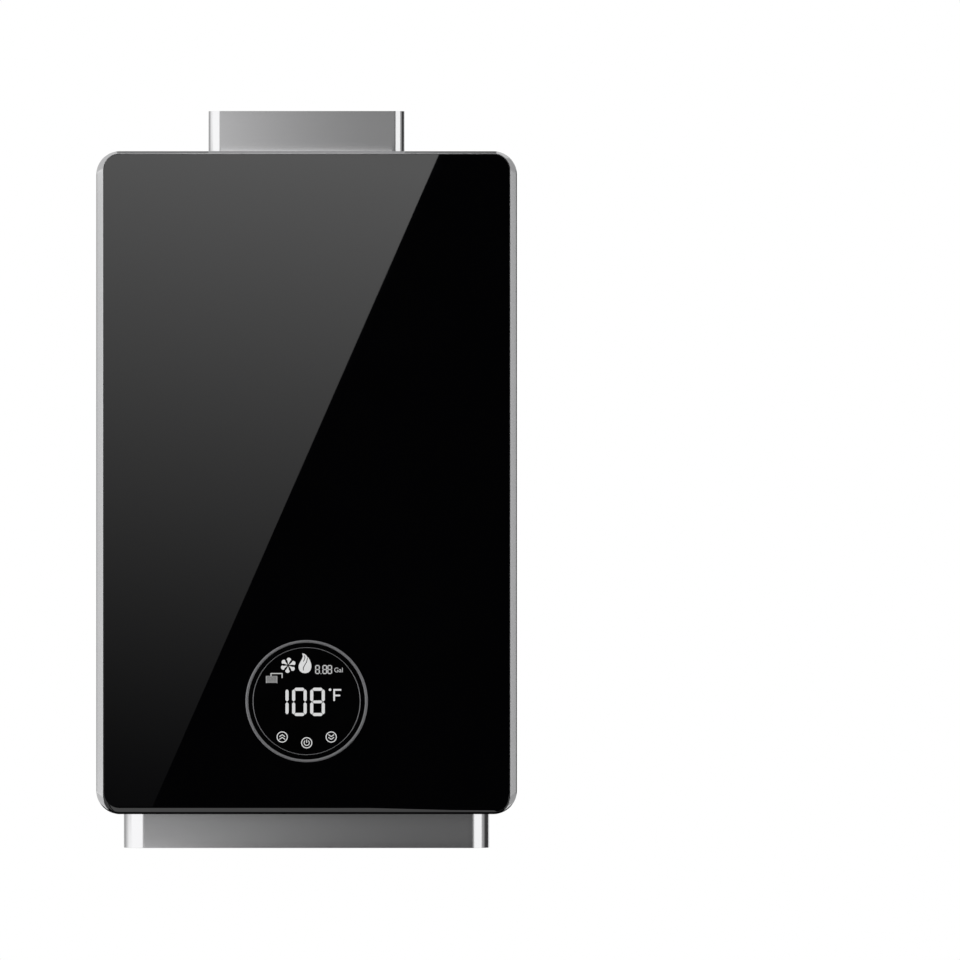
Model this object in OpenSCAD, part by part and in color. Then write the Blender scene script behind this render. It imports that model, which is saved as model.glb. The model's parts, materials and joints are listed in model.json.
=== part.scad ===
// Wall-hung tankless gas water heater with a black glass front and a round display.
// Millimetres. +Z is up and the glass faces -Y. The wall is the plane y = 0.
// The origin is the middle of the four wall holes. Depths in the names and modules
// below are measured from the wall towards the glass, so a depth d lies at y = -d.

/* [Housing] */
// Width over the front frame
body_w = 330; // [326:1:380]
// Height over the front frame
body_h = 520; // [512:1:600]
// Depth from the wall to the face of the glass
body_d = 128; // [126:1:150]
// Corner radius of the front frame
frame_r = 18.5; // [16:0.5:24]
// Depth of the frame behind the face of the glass
frame_d = 20; // [16:0.5:26]
// Depth of the frame's sloping face
bevel_d = 5; // [3:0.5:7]
// How far the frame stands out past the cover
frame_lip = 3; // [2.4:0.1:4]
// Sheet thickness of the front cover
cover_t = 1; // [0.8:0.1:1.4]
// Sheet thickness of the back pan and the bottom plate
pan_t = 1.2; // [0.8:0.1:1.5]
// Depth of the back pan's rim
pan_rim = 28; // [20:1:30]
// Clearance between pieces that slip together
slip = 0.3; // [0.2:0.05:0.4]
// Spacing of the wall holes across
hole_dx = 260; // [230:5:280]
// Spacing of the wall holes up and down
hole_dz = 450; // [400:5:470]
// Diameter of the wall holes
wall_hole_d = 7; // [5:0.5:9]
// Length of one air slot in the cover's sides
slot_len = 34; // [20:1:45]
// Height of one air slot
slot_w = 3.5; // [2:0.5:3.9]
// Spacing of the air slots
slot_pitch = 9; // [7:0.5:12]
// Number of air slots on each side
slot_n = 10; // [4:1:12]

/* [Glass front] */
// Thickness of the glass
glass_t = 4; // [3:0.5:5]
// Corner radius of the glass
glass_r = 12.5; // [9:0.5:16]
// Height of the sloping lower edge of the glass
glass_roll = 5; // [2:0.5:8]
// Width of the frame beside the glass
band_side = 5.3; // [4:0.1:8]
// Width of the frame above the glass
band_top = 2.4; // [1.5:0.1:5]
// Width of the frame below the glass
band_bottom = 0.9; // [0.8:0.1:4]
// Thickness of the gasket behind the glass
gasket_t = 1; // [0.5:0.1:1.5]
// Thickness of the ledge that carries the glass
ledge_t = 3; // [2:0.5:4]
// Width of that ledge
ledge_w = 9; // [6:0.5:14]

/* [Display] */
// Outer diameter of the display ring
ring_d = 96.5; // [80:0.5:105]
// Width of the display ring
ring_w = 2.6; // [1.5:0.1:4]
// How far the ring stands proud of the glass
ring_up = 0.4; // [0.2:0.1:1]
// Diameter of the fine groove in the lens
groove_d = 85; // [70:0.5:88]
// Height of the display's centre above the lower edge of the frame
display_up = 88.6; // [80:0.1:110]
// Depth of the display housing behind the cover's front wall
display_room = 21; // [16:1:24]
// Height of the touch keys' centre below the display's centre
key_drop = 33; // [28:0.5:36]
// Spacing of the touch keys
key_pitch = 19.3; // [14:0.1:22]

/* [Flue] */
// Width of the flue shroud
shroud_w = 154.2; // [120:0.1:180]
// Height of the flue shroud above the frame
shroud_h = 31.8; // [25:0.1:45]
// Corner radius of the flue shroud
shroud_r = 10; // [5:0.5:18]
// Sheet thickness of the shroud and the skirt
trim_t = 1; // [0.8:0.1:1.5]
// Outer diameter of the flue collar
collar_d = 60; // [50:1:66]
// Wall of the flue collar
collar_wall = 1.2; // [0.8:0.1:2]
// How far the collar's mouth lies below the top of the shroud
collar_drop = 6; // [2:0.5:12]
// Diameter of the draught flap's pin
flap_pin_d = 3; // [2:0.5:4]
// How far that pin lies off the middle of the collar
flap_offset = 6; // [3:0.5:8]

/* [Skirt] */
// Width of the skirt
skirt_w = 287.5; // [285:0.5:310]
// Height of the skirt below the frame
skirt_h = 27; // [22:0.5:40]
// Corner radius of the skirt
skirt_r = 17; // [13:0.5:25]
// How far the skirt and the shroud lie behind the frame's rear edge
trim_in = 0.5; // [0.3:0.1:4]
// Gap between the skirt and the wall
skirt_gap = 4; // [2:0.5:8]

/* [Fan] */
// Diameter of the impeller
impeller_d = 76; // [66:1:80]
// Width of the impeller
impeller_w = 28; // [22:1:32]
// Number of impeller blades
blade_n = 24; // [16:1:32]
// Depth of the volute
volute_d = 40; // [38:1:44]
// How much the scroll's radius grows over its turn
scroll_gain = 24; // [18:1:26]
// Diameter of the fan shaft
shaft_d = 6; // [5:0.5:8]
// Diameter of the motor
motor_d = 50; // [42:1:56]
// Length of the motor
motor_len = 34; // [32:1:36]

/* [Heat exchanger and burner] */
// Width of the combustion chamber
col_w = 194; // [180:1:200]
// Gap between the back pan and the combustion chamber
bracket_d = 6.8; // [5:0.1:9]
// Sheet thickness of the chamber, hood and volute
sheet_t = 1; // [0.8:0.1:1.4]
// Height of the burner tray
tray_h = 50; // [46:1:56]
// Height of the bay below the burner
bay_h = 158; // [152:1:170]
// Outer diameter of the water tubes
tube_d = 13; // [11:0.5:14]
// Wall of the water tubes
tube_wall = 1; // [0.7:0.1:1.4]
// Bend radius of the water pipes
bend_r = 12; // [10:0.5:14]
// Number of exchanger fins
fin_n = 26; // [16:1:40]
// Thickness of one fin
fin_t = 0.8; // [0.4:0.1:1.2]
// Height of the fins
fin_h = 40; // [30:1:46]
// Number of burner blades
burner_n = 9; // [5:1:11]
// Thickness of one burner blade
burner_t = 12; // [9:0.5:14]

/* [Water and gas] */
// Thread diameter of the water and gas connections
thread_d = 20.96; // [16:0.02:22]
// Bore of the connections
port_d = 14; // [10:0.5:15]
// How far the connections' ends lie above the skirt's lower edge
port_in = 5; // [2:0.5:8]
// Outer diameter of the flow sensor
sensor_d = 30; // [28:1:34]
// Diameter of the flow turbine
turbine_d = 18.8; // [16:0.2:20]
// Place of the drain tap across the heater
drain_x = 74; // [66:1:78]
// Outer diameter of the gas pipe
gas_pipe_d = 10; // [8:0.5:11]
// Width of the gas valve
valve_w = 64; // [58:1:70]
// Height of the gas valve
valve_h = 65; // [60:1:72]
// Diameter of the two valve coils
coil_d = 32; // [26:1:36]
// Length of the two valve coils
coil_len = 36; // [30:1:38]
// Stroke of the shut-off plunger
shutoff_stroke = 3; // [2:0.25:4]
// Stroke of the modulating plunger
modulating_stroke = 2; // [1:0.25:3]
// Height of the control box
control_h = 120; // [100:1:126]
// Width of the control box
control_w = 74; // [70:1:76]
// Cable diameter that the gland takes
cable_d = 8; // [6:0.5:9]
// Running clearance of shafts and pins, on the radius
run = 0.04; // [0.02:0.01:0.08]

/* [Hidden] */
$fn = 64;

// Overlap that lets cuts pass clear through
cut = 1;

// Housing outlines
cover_w = body_w - 2 * frame_lip;
cover_h = body_h - 2 * frame_lip;
cover_r = frame_r - frame_lip;
pan_w = cover_w - 2 * (cover_t + slip);
pan_h = cover_h - 2 * (cover_t + slip);
pan_r = cover_r - cover_t - slip;
pan_in_x = pan_w / 2 - pan_t;
pan_in_z = pan_h / 2 - pan_t;
cover_back = 2;
glass_back = body_d - glass_t;
ledge_front = glass_back - gasket_t;
cover_front = ledge_front - ledge_t;
room_front = cover_front - cover_t;
glass_w = body_w - 2 * band_side;
glass_h = body_h - band_top - band_bottom;
glass_z = (band_bottom - band_top) / 2;
frame_land = 0.4;
frame_step = 0.6;
edge_d = 0.8;
deck_z = -pan_in_z + pan_t;
deck_room = 7;
deck_front = room_front - deck_room;

// Display
display_z = display_up - body_h / 2;
ring_in_d = ring_d - 2 * ring_w;
ring_gap = 0.1;
lens_d = ring_in_d - 2 * ring_gap;
groove = 0.5;
housing_out = 4;
housing_flange = 11;
housing_d = ring_d + 2 * housing_out;
housing_flange_d = ring_d + 2 * housing_flange;
housing_t = 2;
boss_r = 3;
boss_at = housing_d / 2 - housing_t - 2 * boss_r / 3;
board_t = 1.6;
window_in = 1;
window_r = groove_d / 2 - window_in;
display_half = window_r * 0.75;
board_in = 10;
board_front = cover_front - board_in;
chip_pitch = 22;
chip = [12, 4, 18];
pad_r = 4.4;
pad_stem_r = 2.2;
pad_t = 1;
key_rise = 4.5;

// Fan, flue and their places
motor_room = 2;
motor_front = room_front - motor_room;
volute_front = motor_front - motor_len;
volute_back = volute_front - volute_d;
flue_d = (volute_front + volute_back) / 2;
collar_r = collar_d / 2;
flue_drop = 9.5;
duct_h = 57;
volute_top = pan_in_z - flue_drop;
fan_z = volute_top - duct_h;
tongue_gap = 4;
tongue_a = 70;
scroll_r0 = impeller_d / 2 + tongue_gap;
scroll_r1 = scroll_r0 + scroll_gain;
duct_in = tenth(scroll_r0 * cos(tongue_a));
fan_x = -(scroll_r1 + duct_in) / 2;
duct_half = (scroll_r1 - duct_in) / 2;
eye_in = 9;
eye_r = impeller_d / 2 - eye_in;
flange_out = 14;
flange_side = 12;
flange_corner = 4;
gasket_flue_t = 1.5;
collar_base = volute_top + gasket_flue_t;
collar_top = body_h / 2 + shroud_h - collar_drop;
flap_gap = 1.3;
flap_r = collar_r - collar_wall - flap_gap;
flap_t = 0.8;
pin_in = 0.5;
flap_up = 22;
flap_z = volute_top + flap_up;
shroud_top = body_h / 2 + shroud_h;
shroud_foot = 11;
trim_front = body_d - frame_d - trim_in;
shroud_half = trim_front - flue_d;
flue_room = 6;

// Combustion column
col_back = pan_t + bracket_d;
front_room = 15;
col_front = room_front - front_room;
mid_d = (col_back + col_front) / 2;
tray_z = deck_z + bay_h;
shell_z = tray_z + tray_h;
hood_h = 33;
hood_z = fan_z - tenth(scroll_r(270) + slip) - sheet_t - hood_h;
tube_r = tube_d / 2;
tube_out = 3;
tube_end = col_w / 2 + tube_out;
tube_drop = 27;
tube_z = hood_z - tube_drop;
tube_n = 5;
fin_gap = 1.5;
fin_edge = 5;
tube_span = col_front - col_back - 2 * (sheet_t + fin_gap + fin_edge) - tube_d;
tube_pitch = tenth(tube_span / (tube_n - 1));
pipe_x = tube_end + bend_r;

// Connections
port_z = -body_h / 2 - skirt_h + port_in;
neck_r = thread_d / 2;
flange_r = neck_r + 5.5;
flange_t = 4;
nut_r = neck_r + 6;
nut_t = 7.5;
nut_room = 2;
plate_low = -pan_in_z;
thread_gap = 1;
thread_top = plate_low - nut_t - thread_gap;
relief = 0.5;
port_wall = 3;
drain_spigot_r = 8;
drain_bore_r = 5;
gland_x = -62;

// Water and gas train
inlet_h = 38;
inlet_top = deck_z + inlet_h;
sensor_len = 50;
sensor_top = inlet_top + sensor_len;
hot_h = 40;
hot_top = deck_z + hot_h;
cold_rise = 45;
cold_jog = sensor_top + cold_rise;
hot_rise = 13;
hot_jog = deck_z + control_h + hot_rise;
valve_x = -valve_w / 3;
valve_up = 45;
valve_z = deck_z + valve_up;
valve_deep = 44;
valve_boss = 3;
chamber_r = 11;
chamber_len = valve_w / 3;
coil_up = 20;
shutoff_z = valve_z + coil_up;
modulating_z = valve_z + valve_h - coil_up;
seat_r = 6;
feed_x = valve_x - valve_w / 3;
feed_z = tray_z - bend_r;
manifold_d = 12;
manifold_h = 13;
manifold_up = 5;
manifold_z = tray_z + manifold_up;
manifold_mid = col_front + manifold_d / 2;
gas_wall = 1;
burner_side = 17;
burner_pitch = (col_w - 2 * burner_side) / (burner_n - 1);
injector_z = manifold_z + manifold_h / 2;

// Fasteners
screw_d = 3.8;
screw_head_d = 7;
screw_head_t = 2.2;
screw_edge = 1;
screw_slot = 0.9;
screw_hole_r = screw_d / 2 + slip / 2;
screw_hole_h = 12;
screw_len = 6;
cover_screw_z = 170;
cover_screw_d = 15;
trim_screw_in = 6;

function scroll_r(a) = scroll_r0 + scroll_gain * (a - tongue_a) / (360 - tongue_a);
function tube_at(i) = mid_d + (i - (tube_n - 1) / 2) * tube_pitch;
function at(x, d, z) = [x, -d, z];
function tenth(v) = round(10 * v) / 10;

// Shapes that repeat

// Rectangle with round corners about the origin
module rrect(w, h, r) {
    square([w - 2 * r, h], center = true);
    square([w, h - 2 * r], center = true);
    for (sx = [-1, 1], sy = [-1, 1])
        translate([sx * (w / 2 - r), sy * (h / 2 - r)]) circle(r);
}

// Front-view outline made solid from depth d0 to depth d1
module slab(d0, d1) {
    rotate([90, 0, 0]) translate([0, 0, d0]) linear_extrude(d1 - d0) children();
}

// Plan outline made solid from height z0 to height z1
module plate(z0, z1) {
    translate([0, 0, z0]) linear_extrude(z1 - z0) children();
}

module box(x0, x1, d0, d1, z0, z1) {
    translate([x0, -d1, z0]) cube([x1 - x0, d1 - d0, z1 - z0]);
}

module rod_x(r, x0, x1) {
    translate([x0, 0, 0]) rotate([0, 90, 0]) cylinder(r = r, h = x1 - x0);
}

module rod_y(r, d0, d1) {
    translate([0, -d0, 0]) rotate([90, 0, 0]) cylinder(r = r, h = d1 - d0);
}

module rod_z(r, z0, z1) {
    translate([0, 0, z0]) cylinder(r = r, h = z1 - z0);
}

module pipe_z(r, bore, z0, z1) {
    difference() {
        rod_z(r, z0, z1);
        rod_z(bore, z0 - cut, z1 + cut);
    }
}

// Slot with round ends, long way across
module round_slot(len, w) {
    square([len - w, w], center = true);
    for (s = [-1, 1]) translate([s * (len - w) / 2, 0]) circle(w / 2);
}

// Round tube along points whose legs are square to each other
module bent_tube(points, r, bore, bend) {
    last = len(points) - 1;
    for (i = [0 : last - 1]) {
        leg = points[i + 1] - points[i];
        along = leg / norm(leg);
        a = points[i] + (i > 0 ? bend : 0) * along;
        b = points[i + 1] - (i < last - 1 ? bend : 0) * along;
        tube_leg(a, b, r, bore);
        if (i < last - 1) {
            next = points[i + 2] - points[i + 1];
            tube_bend(points[i + 1], along, next / norm(next), r, bore, bend);
        }
    }
}

module tube_leg(a, b, r, bore) {
    along = (b - a) / norm(b - a);
    side = abs(along[2]) > 0.5 ? [1, 0, 0] : [0, 0, 1];
    if (norm(b - a) > 0.01)
        frame_at(a, side, cross(along, side), along) difference() {
            cylinder(r = r, h = norm(b - a));
            translate([0, 0, -cut]) cylinder(r = bore, h = norm(b - a) + 2 * cut);
        }
}

module tube_bend(corner, into, out, r, bore, bend) {
    centre = corner + bend * (out - into);
    frame_at(centre, -out, into, cross(-out, into))
        rotate_extrude(angle = 90) translate([bend, 0]) difference() {
            circle(r);
            circle(bore);
        }
}

// Places children so that their x, y and z axes run along the three given directions
module frame_at(place, x, y, z) {
    multmatrix([
        [x[0], y[0], z[0], place[0]],
        [x[1], y[1], z[1], place[1]],
        [x[2], y[2], z[2], place[2]]
    ]) children();
}

// Pan-head screw along +Z, with the underside of its head at z = 0
module screw(len) {
    difference() {
        rotate_extrude() polygon([
            [0, -screw_head_t], [screw_head_d / 2 - screw_edge, -screw_head_t],
            [screw_head_d / 2, -screw_head_t + screw_edge], [screw_head_d / 2, 0],
            [screw_d / 2, 0], [screw_d / 2, len], [0, len]
        ]);
        for (a = [0, 90]) rotate([0, 0, a]) translate([0, 0, -screw_head_t])
            cube([screw_head_d * 0.6, screw_slot, screw_head_t], center = true);
    }
}

// Housing

module frame_outline(grow = 0) {
    rrect(body_w + 2 * grow, body_h + 2 * grow, frame_r + grow);
}

module glass_outline(grow = 0) {
    translate([0, glass_z]) rrect(glass_w + 2 * grow, glass_h + 2 * grow, glass_r + grow);
}

module cover_outline(grow = 0) {
    rrect(cover_w + 2 * grow, cover_h + 2 * grow, cover_r + grow);
}

module pan_outline(grow = 0) {
    rrect(pan_w + 2 * grow, pan_h + 2 * grow, pan_r + grow);
}

module side_screw_places() {
    for (s = [-1, 1], k = [-1, 0, 1])
        translate(at(s * cover_w / 2, cover_screw_d, k * cover_screw_z)) rotate([0, -90 * s, 0]) children();
}

pan_hole_gap = 2;
rib_out = 11;
rib_x = col_w / 2 + rib_out;
rib_w = 10;
rib_up = 2;
rib_end = 30;
rib_len = hole_dz - 2 * rib_end;

module pan_ribs(w, d0, d1) {
    for (s = [-1, 1])
        slab(d0, d1) translate([s * rib_x, 0]) rotate([0, 0, 90]) round_slot(rib_len + w, w);
}

module back_pan() {
    color("silver") difference() {
        union() {
            difference() {
                slab(0, pan_rim) pan_outline();
                slab(pan_t, pan_rim + cut) pan_outline(-pan_t);
            }
            pan_ribs(rib_w, 0, pan_t + rib_up);
        }
        pan_ribs(rib_w - 2 * pan_t, -cut, rib_up);
        for (sx = [-1, 1], sz = [-1, 1])
            translate([sx * hole_dx / 2, 0, sz * hole_dz / 2]) rod_y(wall_hole_d / 2, -cut, pan_t + cut);
        side_screw_places() cylinder(r = screw_hole_r, h = screw_hole_h, center = true);
        translate([0, -flue_d, 0]) rod_z(collar_r + pan_hole_gap, pan_in_z - cut, pan_h / 2 + cut);
    }
}

notch_half = pipe_x + nut_r + nut_room;
deck_lap = 4;
deck_half = notch_half + deck_lap;
rear_lip = 18;
front_lip = 8;
vent_n = 6;
vent_first = 24;
vent_pitch = 16;
vent_len = 14;
vent_in = 12;

module port_places() {
    for (x = [-pipe_x, 0, pipe_x]) translate([x, -mid_d, 0]) children();
}

module bottom_plate() {
    color("silver") difference() {
        union() {
            box(-deck_half, deck_half, pan_t, deck_front, plate_low, deck_z);
            box(-deck_half, deck_half, pan_t, 2 * pan_t, plate_low, deck_z + rear_lip);
            box(-deck_half, deck_half, deck_front - pan_t, deck_front, plate_low, deck_z + front_lip);
        }
        port_places() rod_z(neck_r + slip, plate_low - cut, deck_z + cut);
        translate([drain_x, -mid_d, 0]) rod_z(drain_spigot_r + slip, plate_low - cut, deck_z + cut);
        translate([gland_x, -mid_d, 0]) rod_z(gland_r + slip, plate_low - cut, deck_z + cut);
        for (s = [-1, 1], k = [0 : vent_n - 1])
            plate(plate_low - cut, deck_z + cut)
                translate([s * (vent_first + vent_pitch * k), -(deck_front - vent_in)])
                    rotate([0, 0, 90]) round_slot(vent_len, slot_w);
    }
}

flue_notch = collar_r + flue_room;
slot_up = 44;
cover_lip = 6;

module front_cover() {
    color("gainsboro") difference() {
        slab(cover_back, cover_front) cover_outline();
        slab(cover_back - cut, room_front) cover_outline(-cover_t);
        translate([0, 0, display_z]) rod_y(housing_d / 2 + slip, room_front - cut, cover_front + cut);
        box(-flue_notch, flue_notch, 0, flue_d + flue_notch, pan_in_z, cover_h / 2 + cut);
        box(-notch_half, notch_half, 0, deck_front - cover_lip, -cover_h / 2 - cut, plate_low);
        side_screw_places() cylinder(r = screw_hole_r, h = screw_hole_h, center = true);
        for (k = [0 : slot_n - 1])
            translate([0, -mid_d, deck_z + slot_up + k * slot_pitch]) rotate([90, 0, 90])
                linear_extrude(cover_w + 2 * cut, center = true) round_slot(slot_len, slot_w);
        trim_screw_places() cylinder(r = screw_hole_r, h = screw_hole_h, center = true);
        shroud_screw_places() cylinder(r = screw_hole_r, h = screw_hole_h, center = true);
    }
}

module front_frame() {
    color("lightsteelblue") difference() {
        union() {
            slab(body_d - frame_d, body_d - bevel_d) frame_outline();
            hull() {
                slab(body_d - bevel_d - frame_land, body_d - bevel_d) frame_outline($fn = 32);
                slab(body_d - frame_step - frame_land / 4, body_d - frame_step)
                    glass_outline(slip + frame_land, $fn = 32);
            }
        }
        slab(ledge_front, body_d + cut) glass_outline(slip);
        slab(cover_front - cut, body_d) glass_outline(-ledge_w);
        slab(body_d - frame_d - cut, cover_front) cover_outline(slip);
    }
}

// The sides and the top have a small chamfer, and the lower edge a long one
module glass_panel() {
    face_w = glass_w - 2 * edge_d;
    face_h = glass_h - edge_d - glass_roll;
    color("black") difference() {
        hull() {
            slab(glass_back, body_d - edge_d) glass_outline($fn = 32);
            slab(body_d - edge_d / 8, body_d) translate([0, glass_z + (glass_roll - edge_d) / 2])
                rrect(face_w, face_h, glass_r - edge_d, $fn = 32);
        }
        translate([0, 0, display_z]) rod_y(ring_d / 2 + ring_gap, glass_back - cut, body_d + cut);
    }
}

module glass_gasket() {
    color("dimgray") slab(ledge_front, glass_back) difference() {
        glass_outline(-slip);
        glass_outline(-ledge_w);
    }
}

// Round display

module display_ring() {
    color("silver") translate([0, 0, display_z]) rotate([90, 0, 0]) rotate_extrude() polygon([
        [ring_in_d / 2, glass_back], [ring_d / 2, glass_back],
        [ring_d / 2, body_d], [ring_d / 2 - ring_up, body_d + ring_up],
        [ring_in_d / 2 + ring_up, body_d + ring_up], [ring_in_d / 2, body_d]
    ]);
}

module display_lens() {
    color("black") translate([0, 0, display_z]) rotate([90, 0, 0]) rotate_extrude() polygon([
        [0, glass_back], [lens_d / 2, glass_back], [lens_d / 2, body_d],
        [groove_d / 2 + groove, body_d], [groove_d / 2, body_d - groove],
        [groove_d / 2 - groove, body_d], [0, body_d]
    ]);
}

module display_housing() {
    color("dimgray") translate([0, 0, display_z]) difference() {
        union() {
            rod_y(housing_flange_d / 2, cover_front, glass_back);
            rod_y(housing_d / 2, room_front - display_room, cover_front);
        }
        difference() {
            rod_y(housing_d / 2 - housing_t, room_front - display_room - cut, glass_back - housing_t);
            for (a = [30, 150, 270]) rotate([0, a, 0])
                translate([boss_at, 0, 0]) rod_y(boss_r, board_front, glass_back);
        }
        rod_y(window_r, cover_front - cut, glass_back + cut);
    }
}

module display_board() {
    color("darkgreen") translate([0, 0, display_z]) {
        rod_y(housing_d / 2 - housing_t - slip, board_front - board_t, board_front);
        box(-display_half, display_half, board_front, glass_back - slip,
            -display_half / 2, display_half * 0.8);
        for (k = [-1, 0, 1])
            translate([k * chip_pitch, 0, 0])
                box(-chip[0] / 2, chip[0] / 2, board_front - board_t - chip[1], board_front - board_t,
                    -chip[2] / 2, chip[2] / 2);
    }
}

module key_places() {
    for (k = [-1, 0, 1])
        translate([k * key_pitch, 0, display_z - key_drop + abs(k) * key_rise]) children();
}

module touch_pads() {
    color("gold") key_places() {
        rod_y(pad_r, glass_back - pad_t, glass_back);
        rod_y(pad_stem_r, board_front, glass_back - pad_t);
    }
}

// Trim

module flue_shroud() {
    color("silver") translate([0, -flue_d, 0]) {
        plate(cover_h / 2, shroud_top) difference() {
            shroud_plan(0);
            shroud_plan(trim_t);
        }
        plate(cover_h / 2, cover_h / 2 + trim_t) difference() {
            shroud_plan(0);
            square([shroud_w - 2 * shroud_foot, 2 * shroud_half + cut], center = true);
            for (x = [-1, 1], y = [-1, 1])
                translate([x * shroud_screw_x, y * shroud_screw_y]) circle(screw_hole_r);
        }
        plate(shroud_top - trim_t, shroud_top) difference() {
            shroud_plan(0);
            circle(collar_r + flue_room);
        }
    }
}

shroud_screw_x = shroud_w / 2 - trim_screw_in;
shroud_screw_y = 26;

module shroud_plan(inset) {
    rrect(shroud_w - 2 * inset, 2 * (shroud_half - inset), shroud_r - inset);
}

module shroud_screw_places() {
    for (x = [-1, 1], y = [-1, 1])
        translate([x * shroud_screw_x, y * shroud_screw_y - flue_d, cover_h / 2 + trim_t])
            rotate([180, 0, 0]) children();
}

// Plan of a tray with its open side to the wall, from depth d0 to depth d1
module plan_u(w, d0, d1, r) {
    translate([-w / 2, -(d1 - r)]) square([w, d1 - r - d0]);
    translate([-(w / 2 - r), -d1]) square([w - 2 * r, d1 - d0]);
    for (s = [-1, 1]) translate([s * (w / 2 - r), -(d1 - r)]) circle(r);
}

skirt_low = -body_h / 2 - skirt_h;
skirt_foot = 11;
skirt_hem = 4;
skirt_screw_d = [30, 80];

module skirt_band(z0, z1, inset) {
    plate(z0, z1) difference() {
        plan_u(skirt_w, skirt_gap, trim_front, skirt_r);
        plan_u(skirt_w - 2 * inset, skirt_gap - cut, trim_front - inset, skirt_r - inset);
    }
}

module bottom_skirt() {
    color("silver") difference() {
        union() {
            skirt_band(skirt_low, -cover_h / 2, trim_t);
            difference() {
                skirt_band(-cover_h / 2 - trim_t, -cover_h / 2, skirt_foot);
                port_places() rod_z(nut_r + nut_room, -cover_h / 2 - trim_t - cut, -cover_h / 2 + cut);
            }
            skirt_band(skirt_low, skirt_low + trim_t, skirt_hem);
        }
        trim_screw_places() cylinder(r = screw_hole_r, h = screw_hole_h, center = true);
    }
}

module trim_screw_places() {
    for (s = [-1, 1], d = skirt_screw_d)
        translate(at(s * (skirt_w / 2 - trim_screw_in), d, -cover_h / 2 - trim_t)) children();
}

module cover_screws() {
    color("silver") side_screw_places() screw(screw_len);
}

module trim_screws() {
    color("silver") {
        trim_screw_places() screw(trim_t + cover_t + slip);
        shroud_screw_places() screw(trim_t + cover_t + slip);
    }
}

// Flue

module flue_plan() {
    rrect(2 * (duct_half + flange_out), volute_d + 2 * flange_side, flange_corner);
}

module flue_collar() {
    color("silver") translate([0, -flue_d, 0]) difference() {
        union() {
            plate(collar_base, collar_base + pan_t) flue_plan();
            rod_z(collar_r, collar_base, collar_top);
        }
        rod_z(collar_r - collar_wall, collar_base - cut, collar_top + cut);
        translate([0, flap_offset, flap_z]) rod_x(flap_pin_d / 2 + run, -collar_d, collar_d);
    }
}

module flue_gasket() {
    color("dimgray") translate([0, -flue_d, 0]) plate(volute_top, collar_base) difference() {
        flue_plan();
        circle(collar_r - collar_wall);
    }
}

module draught_flap() {
    reach = sqrt(collar_r * collar_r - flap_offset * flap_offset) - pin_in;
    color("lightgray") translate([0, -flue_d, flap_z]) {
        translate([0, 0, -flap_t / 2]) cylinder(r = flap_r, h = flap_t);
        translate([0, flap_offset, 0]) rod_x(flap_pin_d / 2, -reach, reach);
    }
}

// Fan

shaft_r = shaft_d / 2;
bearing_wall = 4;
bearing_r = shaft_r + bearing_wall;
bearing_len = 6;
plate_gap = 1;
nipple_r = 2.2;
nipple_wall = 0.9;
nipple_len = 10;
switch_drop = 30;
switch_z = volute_top - switch_drop;

// Snail-shaped outline of the volute with its duct, about the fan's axis
module scroll_outline(grow, over) {
    polygon(concat(
        [for (a = [tongue_a : 10 : 360]) (scroll_r(a) + grow) * [cos(a), sin(a)]],
        [[scroll_r1 + grow, duct_h + over], [duct_in - grow, duct_h + over]]
    ));
}

module fan_place() {
    translate([fan_x, 0, fan_z]) children();
}

module fan_volute() {
    color("silver") {
        fan_place() difference() {
            slab(volute_back, volute_front - sheet_t) scroll_outline(sheet_t, 0);
            slab(volute_back + sheet_t, volute_front) scroll_outline(0, cut);
            rod_y(eye_r, volute_back - cut, volute_back + sheet_t + cut);
        }
        translate([0, -flue_d, 0]) plate(volute_top - sheet_t, volute_top) difference() {
            flue_plan();
            square([2 * duct_half, volute_d - 2 * sheet_t], center = true);
        }
        translate(at(duct_half, flue_d, switch_z)) difference() {
            rod_x(nipple_r, 0, nipple_len);
            rod_x(nipple_r - nipple_wall, -cut, nipple_len + cut);
        }
    }
}

module volute_plate() {
    color("silver") fan_place() difference() {
        slab(volute_front - sheet_t, volute_front) scroll_outline(sheet_t, -sheet_t);
        rod_y(bearing_r + plate_gap, volute_back, volute_front + cut);
    }
}

imp_back = flue_d - impeller_w / 2;
imp_front = flue_d + impeller_w / 2;
imp_plate = 1.2;
blade_depth = 6;
blade_in = impeller_d / 2 - blade_depth;
hub_wall = 4;
hub_len = 14;
hub_out = 2;
shaft_end = 2.5;

// One forward-curved blade in plan, from the inner to the outer radius
module blade_plan() {
    lean = 16;
    half = 1.1;
    rim_gap = 0.3;
    rim = impeller_d / 2 - rim_gap;
    polygon(concat(
        [for (s = [0 : 0.25 : 1])
            (blade_in + s * (rim - blade_in)) * [cos(lean * s * s + half), sin(lean * s * s + half)]],
        [for (s = [1 : -0.25 : 0])
            (blade_in + s * (rim - blade_in)) * [cos(lean * s * s - half), sin(lean * s * s - half)]]
    ));
}

module fan_impeller() {
    bite = imp_plate / 3;
    color("silver") fan_place() difference() {
        union() {
            rod_y(impeller_d / 2, imp_front - imp_plate, imp_front);
            rod_y(shaft_r + hub_wall, imp_front - hub_len, imp_front + hub_out);
            difference() {
                rod_y(impeller_d / 2, imp_back, imp_back + imp_plate);
                rod_y(blade_in, imp_back - cut, imp_back + imp_plate + cut);
            }
            for (i = [0 : blade_n - 1])
                slab(imp_back + bite, imp_front - bite) rotate(i * 360 / blade_n) blade_plan();
        }
        rod_y(shaft_r + run / 2, imp_back, motor_front);
    }
}

module fan_shaft() {
    color("gray") fan_place() rod_y(shaft_r, imp_front - hub_len, motor_front - shaft_end);
}

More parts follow.
